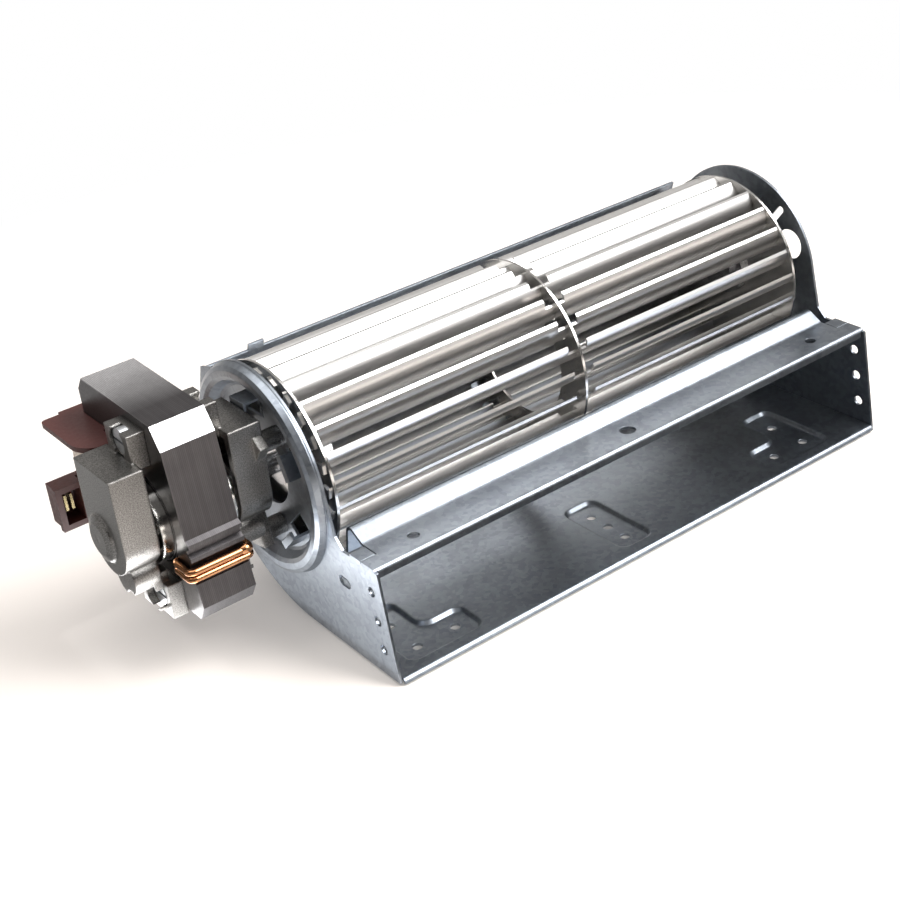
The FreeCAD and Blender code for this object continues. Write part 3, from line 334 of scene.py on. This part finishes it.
cast_grain = make_grain()

# %% [markdown]
# ### Stacked sheets
#
# The iron frame is a pile of thin sheets along the fan's axis. Cutting the
# solid into thirty plates would make heavy geometry for lines that are a
# tenth of a millimetre wide. The group counts the sheets instead: it gives
# the gap between two of them, a random number for each, and a relief.

# %% The edges of stacked sheets
def make_stack_lines():
    group, entry, leave = start_group(
        "stacked_sheets", {"Pitch": 0.0005, "Gap": 0.28}, ("Gap", "Sheet", "Height")
    )
    count = math_node(group, "DIVIDE", object_axis(group, "X"), entry["Pitch"])
    part = math_node(group, "FRACT", count)
    middle = math_node(group, "ABSOLUTE", math_node(group, "SUBTRACT", part, 0.5))
    edge = math_node(group, "SUBTRACT", 0.5, entry["Gap"])
    gap = math_node(group, "GREATER_THAN", middle, edge)
    number = math_node(group, "FLOOR", count)
    draw = add_node(group, "ShaderNodeTexWhiteNoise", {"W": number}, noise_dimensions="1D")
    height = math_node(group, "SUBTRACT", 0.5, middle)
    return close_group(group, leave, Gap=gap, Sheet=draw.outputs["Value"], Height=height)


stack_lines = make_stack_lines()

# %% [markdown]
# ### Turned rings
#
# A lathe leaves lines that run round the axis. The group measures how far a
# spot lies from the drum's axis and how far along it, and draws one noise
# over the sum. So the lines are rings on a flat face and on a round one too.

# %% Turned rings about the drum's axis
shaft_axis = (0.0, 0.045, 0.0102)
ring_pitch = 0.00018


def make_turning():
    group, entry, leave = start_group("turned_rings", {"Pitch": ring_pitch}, ("Ring", "Cloud"))
    place = object_place(group)
    centring = {0: place, 1: shaft_axis}
    centred = add_node(group, "ShaderNodeVectorMath", centring, operation="SUBTRACT")
    parts = add_node(group, "ShaderNodeSeparateXYZ", {"Vector": centred.outputs[0]}).outputs
    flat = add_node(group, "ShaderNodeCombineXYZ", {"Y": parts["Y"], "Z": parts["Z"]})
    radius = add_node(group, "ShaderNodeVectorMath", {0: flat.outputs[0]}, operation="LENGTH")
    walk = math_node(group, "ADD", radius.outputs["Value"], parts["X"])
    steps = math_node(group, "DIVIDE", walk, entry["Pitch"])
    ring_inputs = {"W": steps, "Scale": 1.0}
    ring = add_node(group, "ShaderNodeTexNoise", ring_inputs, noise_dimensions="1D")
    cloud = noise(group, place, scale=90.0, detail=4.0).outputs["Fac"]
    return close_group(group, leave, Ring=ring.outputs["Fac"], Cloud=cloud)


turned_rings = make_turning()

# %% [markdown]
# ## Zinc coated sheet
#
# The casing is cold galvanised steel: blue grey, satin, with a faint crystal
# pattern and soft clouds where the zinc is duller. A shiny grey paint would
# look flat. Here the crystals tilt the brightness and the roughness a little,
# so the sheet keeps moving under the light.

# %% Galvanised material
zinc_dark = (0.215, 0.235, 0.27)
zinc_bright = (0.31, 0.34, 0.38)
zinc_dull = (0.30, 0.325, 0.345)
zinc_rough = (0.285, 0.36)
crystal_rough = 0.03
crystal_size = 0.0014


def make_galvanised():
    material, tree, shader = start_material("galvanised_sheet", Metallic=1.0)
    zinc = use_group(tree, spangle, Size=crystal_size, Blur=0.55)
    light = scale_range(tree, zinc["Crystal"], 0.0, 1.0, from_low=0.12, from_high=0.85)
    colour = blend_colours(tree, light, zinc_dark, zinc_bright)
    dull = scale_range(tree, zinc["Cloud"], 0.0, 0.45, from_low=0.45, from_high=0.75)
    colour = blend_colours(tree, dull, colour, zinc_dull)
    rough = scale_range(tree, zinc["Cloud"], *zinc_rough, *NOISE_BAND)
    rough = math_node(tree, "MULTIPLY_ADD", zinc["Crystal"], crystal_rough, rough)
    relief = {"Height": zinc["Grain"], "Strength": 0.12, "Distance": 0.00004}
    relief["Normal"] = soft_edges(tree, radius=0.0003)
    finish_surface(tree, shader, colour, rough, relief)
    return material


galvanised = make_galvanised()
print("made galvanised_sheet with crystals of", round(crystal_size * 1000, 1), "mm")

# %% [markdown]
# ## Bright rolled aluminium
#
# The blades are cut from bright strip. The rolls leave fine streaks that run
# along each blade, which spread a reflection across the blade but keep it
# sharp along the blade. Streaks in the roughness and in a very small bump
# give that look. The discs are the same metal with a brighter finish.

# %% Aluminium materials
def make_aluminium(name, low, high, rough):
    material, tree, shader = start_material(name, Metallic=1.0)
    rolled = use_group(tree, streaks, Along=5.0, Across=1100.0)
    colour = blend_colours(tree, rolled["Broad"], low, high)
    rough = scale_range(tree, rolled["Streak"], *rough, *NOISE_BAND)
    relief = {"Height": rolled["Streak"], "Strength": 0.16, "Distance": 0.00003}
    finish_surface(tree, shader, colour, rough, relief)
    print("made", name)
    return material


blade_low, blade_high = (0.70, 0.685, 0.67), (0.85, 0.835, 0.82)
disc_low, disc_high = (0.66, 0.65, 0.63), (0.80, 0.79, 0.77)
blade_metal = make_aluminium("blade_aluminium", blade_low, blade_high, rough=(0.28, 0.35))
disc_metal = make_aluminium("disc_aluminium", disc_low, disc_high, rough=(0.14, 0.26))

# %% [markdown]
# ## Cast metal
#
# The brackets are die cast and then blasted, which leaves a fine bright
# grain and soft edges. The cage of the rotor is cast and then turned, so it
# is smoother and brighter. The same maker serves both with other numbers.

# %% Cast materials
cast_shade = (0.86, 1.08)


def make_cast(name, dark, bright, rough, strength):
    material, tree, shader = start_material(name, Metallic=1.0)
    grain = use_group(tree, cast_grain, Scale=3000.0)
    colour = blend_colours(tree, grain["Speck"], dark, bright)
    shade = scale_range(tree, grain["Patch"], *cast_shade, *NOISE_BAND)
    colour = multiply_shade(tree, colour, shade)
    rough = scale_range(tree, grain["Patch"], *rough, *NOISE_BAND)
    relief = {"Height": grain["Height"], "Strength": strength, "Distance": 0.00005}
    relief["Normal"] = soft_edges(tree, radius=0.0007)
    finish_surface(tree, shader, colour, rough, relief)
    print("made", name)
    return material


cast_dark, cast_bright = (0.155, 0.15, 0.145), (0.33, 0.32, 0.305)
cage_dark, cage_bright = (0.78, 0.77, 0.73), (0.88, 0.87, 0.83)
die_cast = make_cast("die_cast", cast_dark, cast_bright, rough=(0.285, 0.35), strength=0.3)
cage_metal = make_cast("cage_aluminium", cage_dark, cage_bright, rough=(0.12, 0.22), strength=0.1)

# %% [markdown]
# ## Laminated iron
#
# The sides of the iron frame are the cut edges of many sheets: dark brown
# grey, each sheet a little different. The top face and the slanted corner
# carry painted highlights: their colour is made lighter to stand for the
# shine of the lamps. These two are found by place: the top by its height and
# the corner by the way its face points, so no edge has to be marked.

# %% Laminated iron material
# Painted highlight on the top face: it fades in just below the top of the stack.
crown_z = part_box("pole_stack")[1][2]
top_sheen_fade = (crown_z - 0.0006, crown_z - 0.0001)
top_sheen_colour = (0.88, 0.87, 0.885)
# Painted highlight on the slanted corner: faces that point this way in the world get the
# highlight colour.
highlight_normal = (0.0, -0.84, 0.545)
highlight_fade = (0.985, 0.995)
corner_highlight_colour = (0.62, 0.61, 0.61)
sheet_low, sheet_high = (0.128, 0.120, 0.124), (0.148, 0.140, 0.144)
sheet_shade = (0.8, 1.1)
sheet_rough = (0.29, 0.38)
sheet_pitch = 0.0005
gap_colour = (0.05, 0.05, 0.05)
gap_share = 0.12
gap_depth = 0.35


def make_laminated(name, highlight_tint):
    material, tree, shader = start_material(name, Metallic=1.0)
    lines = use_group(tree, stack_lines, Pitch=sheet_pitch, Gap=gap_share)
    grain = use_group(tree, cast_grain, Scale=1400.0)
    colour = blend_colours(tree, lines["Sheet"], sheet_low, sheet_high)
    # Painted highlight on the top face.
    painted_top = scale_range(tree, object_axis(tree, "Z"), 0.0, 1.0, *top_sheen_fade)
    colour = blend_colours(tree, painted_top, colour, top_sheen_colour)
    # Painted highlight on the slanted corner, picked by the way the face points.
    facing = {0: add_node(tree, "ShaderNodeNewGeometry").outputs["True Normal"], 1: highlight_normal}
    looks = add_node(tree, "ShaderNodeVectorMath", facing, operation="DOT_PRODUCT")
    corner = scale_range(tree, looks.outputs["Value"], 0.0, 1.0, *highlight_fade)
    colour = blend_colours(tree, corner, colour, highlight_tint)
    shade = scale_range(tree, grain["Patch"], *sheet_shade, *NOISE_BAND)
    colour = multiply_shade(tree, colour, shade)
    gap = math_node(tree, "MULTIPLY", lines["Gap"], gap_depth)
    colour = blend_colours(tree, gap, colour, gap_colour)
    rough = scale_range(tree, grain["Speck"], *sheet_rough)
    height = math_node(tree, "MULTIPLY_ADD", grain["Height"], 0.12, lines["Height"])
    relief = {"Height": height, "Strength": 0.12, "Distance": 0.0001}
    finish_surface(tree, shader, colour, rough, relief)
    print("made", name)
    return material


laminated = make_laminated("lamination_steel", corner_highlight_colour)
rotor_iron = make_laminated("rotor_iron", sheet_high)

# %% [markdown]
# ## Turned steel, plating, bronze and brass
#
# The shaft and the bearing parts come from a lathe, so their fine lines run
# round the axis. The screws are zinc plated and duller, the bushes are
# pressed from bronze powder and are duller still, and the two pins of the
# socket are brass. One maker with four sets of colours and roughness is
# enough for them.

# %% Turned materials
def make_turned(name, low, high, rough):
    material, tree, shader = start_material(name, Metallic=1.0)
    turned = use_group(tree, turned_rings, Pitch=ring_pitch)
    colour = blend_colours(tree, turned["Cloud"], low, high)
    rough = scale_range(tree, turned["Ring"], *rough, *NOISE_BAND)
    relief = {"Height": turned["Ring"], "Strength": 0.2, "Distance": 0.00003}
    finish_surface(tree, shader, colour, rough, relief)
    print("made", name)
    return material


steel_low, steel_high = (0.48, 0.48, 0.49), (0.64, 0.64, 0.65)
plated_low, plated_high = (0.58, 0.60, 0.62), (0.74, 0.76, 0.78)
bronze_low, bronze_high = (0.40, 0.28, 0.16), (0.52, 0.38, 0.22)
brass_low, brass_high = (0.40, 0.33, 0.18), (0.50, 0.42, 0.24)
turned_steel = make_turned("turned_steel", steel_low, steel_high, rough=(0.14, 0.26))
zinc_screw = make_turned("zinc_screw", plated_low, plated_high, rough=(0.28, 0.38))
bronze = make_turned("sintered_bronze", bronze_low, bronze_high, rough=(0.4, 0.6))
brass = make_turned("brass_pins", brass_low, brass_high, rough=(0.2, 0.26))

# %% [markdown]
# ## Bare copper
#
# The shading turns are bare copper rod, bright with darker marks where the
# brazing flame has passed. The patches of the grain set the shade of copper,
# and its strongest specks make the darker marks.

# %% Copper material
copper_dark, copper_bright = (0.34, 0.14, 0.06), (0.64, 0.34, 0.17)
copper_mark = (0.40, 0.16, 0.08)
copper_rough = (0.14, 0.26)


def make_copper():
    material, tree, shader = start_material("bare_copper", Metallic=1.0)
    grain = use_group(tree, cast_grain, Scale=420.0)
    colour = blend_colours(tree, grain["Patch"], copper_dark, copper_bright)
    mark = scale_range(tree, grain["Speck"], 0.0, 0.4, from_low=0.55)
    colour = blend_colours(tree, mark, colour, copper_mark)
    rough = scale_range(tree, grain["Patch"], *copper_rough, *NOISE_BAND)
    finish_surface(tree, shader, colour, rough)
    return material


copper = make_copper()
print("made bare_copper")

# %% [markdown]
# ## Enamelled wire
#
# The coil is wound from hundreds of turns of copper wire under a thin glossy
# brown varnish. Drawing each turn as a curve would be slow to build. The
# height on the coil, divided by the pitch of the wire, gives each turn a
# round crest and a dark valley, in the colour and in the relief.

# %% Enamel material
wire_pitch = 0.00042
enamel_dark, enamel_bright = (0.21, 0.065, 0.03), (0.36, 0.135, 0.06)
valley_colour = (0.05, 0.015, 0.01)
enamel_rough = (0.3, 0.42)


def make_enamel():
    material, tree, shader = start_material(
        "coil_enamel", Metallic=0.55, Coat_Weight=0.6, Coat_Roughness=0.2
    )
    grain = use_group(tree, cast_grain, Scale=300.0)
    turns = math_node(tree, "DIVIDE", object_axis(tree, "Z"), wire_pitch)
    turn = math_node(tree, "FRACT", turns)
    off_middle = math_node(tree, "ABSOLUTE", math_node(tree, "MULTIPLY_ADD", turn, 2.0, -1.0))
    square = math_node(tree, "MULTIPLY", off_middle, off_middle)
    crest = math_node(tree, "SQRT", math_node(tree, "MULTIPLY_ADD", square, -1.0, 1.0))
    colour = blend_colours(tree, grain["Patch"], enamel_dark, enamel_bright)
    valley = scale_range(tree, off_middle, 0.0, 0.7, from_low=0.8)
    colour = blend_colours(tree, valley, colour, valley_colour)
    rough = scale_range(tree, grain["Speck"], *enamel_rough)
    relief = {"Height": crest, "Strength": 0.8, "Distance": 0.0001}
    finish_surface(tree, shader, colour, rough, relief)
    return material


enamel = make_enamel()
print("made coil_enamel with", round(wire_pitch * 1000, 2), "mm from wire to wire")

# %% [markdown]
# ## Tape, plastic and rubber
#
# The tape is a pale cloth with a little gloss, the spool is a reddish brown
# moulding, and the far bearing sits in black rubber. None of them is a
# metal: a grain in the colour and a fine relief keep them from looking like
# plain paint. The tape's relief is the slow patch, because cloth lies uneven.

# %% Soft materials
def make_moulded(name, low, high, rough, scale, relief, **constants):
    material, tree, shader = start_material(name, **constants)
    grain = use_group(tree, cast_grain, Scale=scale)
    colour = blend_colours(tree, grain["Patch"], low, high)
    rough = scale_range(tree, grain["Speck"], *rough)
    source, strength, distance = relief
    bump = {"Height": grain[source], "Strength": strength, "Distance": distance}
    finish_surface(tree, shader, colour, rough, bump)
    print("made", name)
    return material


tape_low, tape_high = (0.56, 0.50, 0.44), (0.66, 0.60, 0.54)
brown_low, brown_high = (0.055, 0.0145, 0.0125), (0.085, 0.025, 0.021)
black_low, black_high = (0.02, 0.02, 0.02), (0.04, 0.04, 0.04)
tape_relief = ("Patch", 0.3, 0.0002)
brown_relief = ("Height", 0.25, 0.00006)
rubber_relief = ("Height", 0.4, 0.00006)
tape = make_moulded(
    "insulating_tape", tape_low, tape_high, rough=(0.42, 0.56), scale=900.0, relief=tape_relief,
    Coat_Weight=0.25, Coat_Roughness=0.3,
)
brown_plastic = make_moulded(
    "brown_plastic", brown_low, brown_high, rough=(0.36, 0.5), scale=900.0, relief=brown_relief
)
rubber = make_moulded(
    "bearing_rubber", black_low, black_high, rough=(0.55, 0.75), scale=700.0, relief=rubber_relief
)

# %% [markdown]
# ## Give each solid its surface
#
# Every solid of the frame keeps its shape. Its material slot is filled with
# the finish that the real piece has, looked up from the slot that the record
# names for it. The discs and the rotor's iron get a finish of their own.

# %% Assign materials
finish_of = {
    "galvanised_sheet": galvanised,
    "drum_aluminium": blade_metal,
    "turned_steel": turned_steel,
    "zinc_screw": zinc_screw,
    "sintered_bronze": bronze,
    "bearing_rubber": rubber,
    "lamination_steel": laminated,
    "cage_aluminium": cage_metal,
    "die_cast": die_cast,
    "brown_plastic": brown_plastic,
    "coil_enamel": enamel,
    "bare_copper": copper,
    "brass_pins": brass,
}


def dress(piece, material):
    piece.data.materials.clear()
    piece.data.materials.append(material)


for part in frame["record"]["subparts"]:
    dress(nodes[part["node"]], finish_of[part["material_slot"]])
for name in ("motor_end_disc", "middle_disc", "bearing_end_disc"):
    dress(nodes[name], disc_metal)
dress(nodes["rotor_core"], rotor_iron)
print("dressed", len(nodes), "solids")

# %% [markdown]
# ## New pieces
#
# A new piece is drawn as a bmesh, which is Blender's editable form of a
# mesh. It stays in the fan's own coordinates, gets its finish, and rides on
# the body that carries the real one.

# %% Piece helpers
def object_from(shape, name):
    mesh = bpy.data.meshes.new(name)
    shape.to_mesh(mesh)
    shape.free()
    made = bpy.data.objects.new(name, mesh)
    bpy.context.scene.collection.objects.link(made)
    return made


def piece_from(shape, name, material, body):
    bmesh.ops.recalc_face_normals(shape, faces=shape.faces)
    piece = object_from(shape, name)
    for face in piece.data.polygons:
        face.use_smooth = True
    dress(piece, material)
    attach(piece, body)
    print(name, "has", len(piece.data.polygons), "faces")


print("piece helpers ready")

# %% [markdown]
# ## The tape round the coil
#
# The wound coil is held and insulated by a pale tape above its socket. It
# follows the rounded corners of the winding. The tape is one strip: a line
# of points is drawn round three sides of the coil, drawn up to a wall and
# given a thickness. Wrapping a flat cloth round the coil in a simulation
# would take longer and show nothing more.

# %% Coil tape
coil_low, coil_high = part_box("coil_winding")
coil_corner = 0.0025
corner_steps = 6
tape_gap = 0.0001
tape_wall = 0.0001
tape_low_z = 0.0125
tape_high_z = coil_high[2] - 0.0006


def corner_points(centre, from_degrees, to_degrees, radius):
    spots = []
    for i in range(corner_steps + 1):
        angle = math.radians(from_degrees + (to_degrees - from_degrees) * i / corner_steps)
        spots.append((centre[0] + radius * math.cos(angle), centre[1] + radius * math.sin(angle)))
    return spots


def make_coil_tape():
    left, right = coil_low[0] + coil_corner, coil_high[0] - coil_corner
    front, back = coil_low[1] + coil_corner, coil_high[1] - coil_corner
    radius = coil_corner + tape_gap
    line = [(left - radius, front)]
    line += corner_points((left, back), 180, 90, radius)
    line += corner_points((right, back), 90, 0, radius)
    line += [(right + radius, front)]
    shape = bmesh.new()
    dots = [shape.verts.new((x, y, tape_low_z)) for x, y in line]
    edges = [shape.edges.new(pair) for pair in zip(dots, dots[1:])]
    wall = bmesh.ops.extrude_edge_only(shape, edges=edges)["geom"]
    raised = [g for g in wall if isinstance(g, bmesh.types.BMVert)]
    bmesh.ops.translate(shape, verts=raised, vec=(0.0, 0.0, tape_high_z - tape_low_z))
    middle = Vector(((left + right) / 2, back, 0.0))
    for face in shape.faces:
        if face.normal.dot(face.calc_center_median() - middle) < 0:
            face.normal_flip()
    bmesh.ops.solidify(shape, geom=shape.faces[:], thickness=-tape_wall)
    piece_from(shape, "coil_tape", tape, "casing")


make_coil_tape()
print("coil from", [round(v, 4) for v in coil_low], "to", [round(v, 4) for v in coil_high])

# %% [markdown]
# ## The brazed joint of the copper turn
#
# Each shading turn is a bent rod whose ends are brazed together, which
# leaves a small bead. A ball pressed out along the rod makes the bead.

# %% Brazed bead
ring_low, ring_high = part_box("front_shading_ring_upper")
bead_radius = 0.0015
bead_stretch = (1.5, 0.95, 1.0)
bead_from_end = 0.0026
rod_radius = 0.00115


def make_bead():
    shape = bmesh.new()
    bmesh.ops.create_icosphere(shape, subdivisions=3, radius=bead_radius)
    bmesh.ops.scale(shape, vec=bead_stretch, verts=shape.verts)
    middle_z = (ring_low[2] + ring_high[2]) / 2
    spot = (ring_high[0] - bead_from_end, ring_low[1] + rod_radius, middle_z)
    bmesh.ops.translate(shape, verts=shape.verts, vec=spot)
    piece_from(shape, "brazed_bead", copper, "casing")


make_bead()
print("ring from", [round(v, 4) for v in ring_low], "to", [round(v, 4) for v in ring_high])

# %% [markdown]
# ## The table
#
# The picture was taken on a white sweep of paper. A curved backdrop could be
# modelled, but a flat sheet does the same from above and keeps the shadow.
# Rays that come from the camera, from metal or through glass see it nearly
# white, so the background is white with no extra light on the fan. Where the
# casing stands, the paper's colour holds a painted shadow, as dark as the
# shaded paper below the real tray.

# %% Floor
floor_z = cad_box[0][2] - 0.0002
floor_half = 4.0


def make_floor():
    shape = bmesh.new()
    bmesh.ops.create_grid(shape, x_segments=1, y_segments=1, size=floor_half)
    bmesh.ops.translate(shape, verts=shape.verts, vec=(0.0, 0.0, floor_z))
    floor = object_from(shape, "floor")
    return floor


floor = make_floor()
print("floor at", round(floor_z, 4))

# %% [markdown]
# ### Who sees the glow
#
# The Light Path node tells which kind of ray asks. The camera and glass see
# the paper glow, faintly beside the fan and fully further out, so the shadow
# stays near the fan. Metal sees a share of the glow, and the light that falls
# on the fan is not changed at all.

# %% Floor material
paper_colour = (0.92, 0.85, 0.79)
# The painted shadow: a dark rectangle in the paper's colour under the casing.
painted_shadow_colour = (0.16, 0.15, 0.14)
shadow_half_x = 0.091
shadow_middle_y = 0.001
shadow_half_y = 0.0115
near_glow = 0.2
glow_starts = 0.2
glow_full = 0.42
floor_metal_share = 0.25
white = (1.0, 1.0, 1.0)


def seen_share(tree, by_camera, in_metal):
    path = add_node(tree, "ShaderNodeLightPath").outputs
    clear = math_node(tree, "MAXIMUM", path["Is Camera Ray"], path["Is Transmission Ray"])
    share = math_node(tree, "MULTIPLY", path["Is Glossy Ray"], in_metal)
    return math_node(tree, "MAXIMUM", share, math_node(tree, "MULTIPLY", clear, by_camera))


def make_floor_material():
    material, tree, shader = start_material(
        "floor_paper", Roughness=0.9, Specular_IOR_Level=0.2
    )
    glow_inputs = {"Color": as_colour(white), "Strength": 1.0}
    glow = add_node(tree, "ShaderNodeEmission", glow_inputs).outputs[0]
    place = object_place(tree)
    away = add_node(tree, "ShaderNodeVectorMath", {0: place}, operation="LENGTH")
    far = scale_range(tree, away.outputs["Value"], near_glow, 1.0, glow_starts, glow_full)
    share = seen_share(tree, far, floor_metal_share)
    spot = add_node(tree, "ShaderNodeSeparateXYZ", {"Vector": place}).outputs
    # Painted shadow under the casing: inside this rectangle the paper turns dark.
    from_middle = math_node(tree, "ABSOLUTE", spot["X"])
    inside_x = math_node(tree, "LESS_THAN", from_middle, shadow_half_x)
    inside_y = math_node(tree, "COMPARE", spot["Y"], shadow_middle_y, shadow_half_y)
    under_casing_shadow = math_node(tree, "MULTIPLY", inside_x, inside_y)
    paper = blend_colours(tree, under_casing_shadow, paper_colour, painted_shadow_colour)
    tree.links.new(paper, shader.inputs["Base Color"])
    mixed = add_node(tree, "ShaderNodeMixShader", {0: share, 1: shader.outputs[0], 2: glow})
    tree.links.new(mixed.outputs[0], tree.nodes["Material Output"].inputs["Surface"])
    return material


dress(floor, make_floor_material())
print("paper glows fully from", glow_full, "m")

# %% [markdown]
# ## The room
#
# Round the table is a white room. The camera sees it white, and the fan gets
# only a soft warm light from it, which fills the shadows. A picture of a
# studio could light it too, but a plain colour is easier to steer.

# %% World
ambient_colour = (0.30, 0.285, 0.27)
world_metal_share = 0.17


def make_world():
    world = bpy.data.worlds.new("studio")
    world.use_nodes = True
    tree = world.node_tree
    background = tree.nodes["Background"]
    share = seen_share(tree, 1.0, world_metal_share)
    colour = blend_colours(tree, share, ambient_colour, white)
    tree.links.new(colour, background.inputs["Color"])
    background.inputs["Strength"].default_value = 1.0
    bpy.context.scene.world = world


make_world()
print("world:", bpy.context.scene.world.name)

# %% [markdown]
# ## The lamps
#
# The picture shows one broad light from above and behind and a second one
# from the right. Metal shows what is round it, so the size of a lamp matters
# more than its power: big lamps give broad soft streaks. A small third lamp
# stands in front, where the slanted corner of the iron frame mirrors it.

# %% Lamps
def make_lamp(name, place, target, size, watts):
    data = bpy.data.lights.new(name, "AREA")
    data.shape = "RECTANGLE"
    data.size, data.size_y = size
    data.energy = watts
    lamp = bpy.data.objects.new(name, data)
    bpy.context.scene.collection.objects.link(lamp)
    towards = Vector(target) - Vector(place)
    turn = towards.to_track_quat("-Z", "Y").to_matrix().to_4x4()
    lamp.matrix_world = Matrix.Translation(Vector(place)) @ turn
    print(name, "gives", watts, "W from", round(towards.length, 2), "m")


fan_middle = (0.0, 0.03, 0.0)
motor_top = (-0.1, 0.02, 0.05)
make_lamp("lamp_top", (-0.15, 0.15, 1.25), fan_middle, size=(1.2, 1.2), watts=11.5)
make_lamp("lamp_right", (0.60, -0.50, 1.0), fan_middle, size=(0.9, 0.6), watts=21.0)
make_lamp("lamp_front", (0.47, -0.82, 0.66), motor_top, size=(0.5, 0.7), watts=6.5)

# %% [markdown]
# ## Dark and glowing cards
#
# Metal needs something dark to show too. In the studio that is the unlit
# room on the camera's side. Here two big black cards stand in front and at
# the left. Small cards lie on the table: a dark one before the outlet, a
# grey one at the left, a glowing one under the motor and a faintly glowing
# one beside the casing's end plate. The two glowing cards are no lamps: they
# put painted reflections of light into the metal round the motor. Only
# reflections see them: they hide nothing, and they throw no shadow.

# %% Cards
card_z = floor_z + 0.0006
card_foot = -0.03


def make_card(name, corners, shade, glow=0.0):
    shape = bmesh.new()
    dots = [shape.verts.new(corner) for corner in corners]
    bmesh.ops.contextual_create(shape, geom=dots)
    card = object_from(shape, name)
    settings = {"Roughness": 1.0, "Specular_IOR_Level": 0.0, "Emission_Strength": glow}
    material = start_material(name, Base_Color=(shade, shade, shade), **settings)[0]
    dress(card, material)
    card.visible_camera = False
    card.visible_diffuse = False
    card.visible_shadow = False
    print(name, "shade", shade, "glow", glow)


def standing(feet, heads, height):
    return [(x, y, card_foot) for x, y in feet] + [(x, y, height) for x, y in heads]


def lying(x_low, y_low, x_high, y_high):
    corners = ((x_low, y_low), (x_high, y_low), (x_high, y_high), (x_low, y_high))
    return [(x, y, card_z) for x, y in corners]


front_feet, front_heads = ((-2.2, -1.3), (2.2, -1.3)), ((2.2, -1.6), (-2.2, -1.6))
left_feet, left_heads = ((-1.3, -1.4), (-1.3, 0.1)), ((-1.5, 0.1), (-1.5, -1.4))
make_card("card_front", standing(front_feet, front_heads, height=0.75), shade=0.02)
make_card("card_left", standing(left_feet, left_heads, height=0.8), shade=0.03)
make_card("card_table", lying(-0.09, -0.2, 0.6, -0.014), shade=0.06)
# The glowing cards are no lamps: they give the metal painted reflections of light.
make_card("card_under", lying(-0.15, 0.0, -0.122, 0.08), shade=0.8, glow=7.0)
make_card("card_side", lying(-0.7, -0.1, -0.152, 0.6), shade=0.34)
make_card("card_plate", lying(-0.121, -0.02, -0.096, 0.07), shade=0.8, glow=0.6)

# %% [markdown]
# ## The view
#
# Blender can bend the colours of a picture like film does. The plain
# Standard view leaves them as they are, so a colour looks as it is written.

# %% Picture settings
bpy.context.scene.view_settings.view_transform = "Standard"
print("view:", bpy.context.scene.view_settings.view_transform)

# %% [markdown]
# ## The size of the frame
#
# The last cell prints the box round the solids, as it was measured right
# after they were loaded.

# %% Print the size of the frame
def as_lists(box):
    return [[float(v) for v in corner] for corner in box]


print("frame box", as_lists(cad_box))
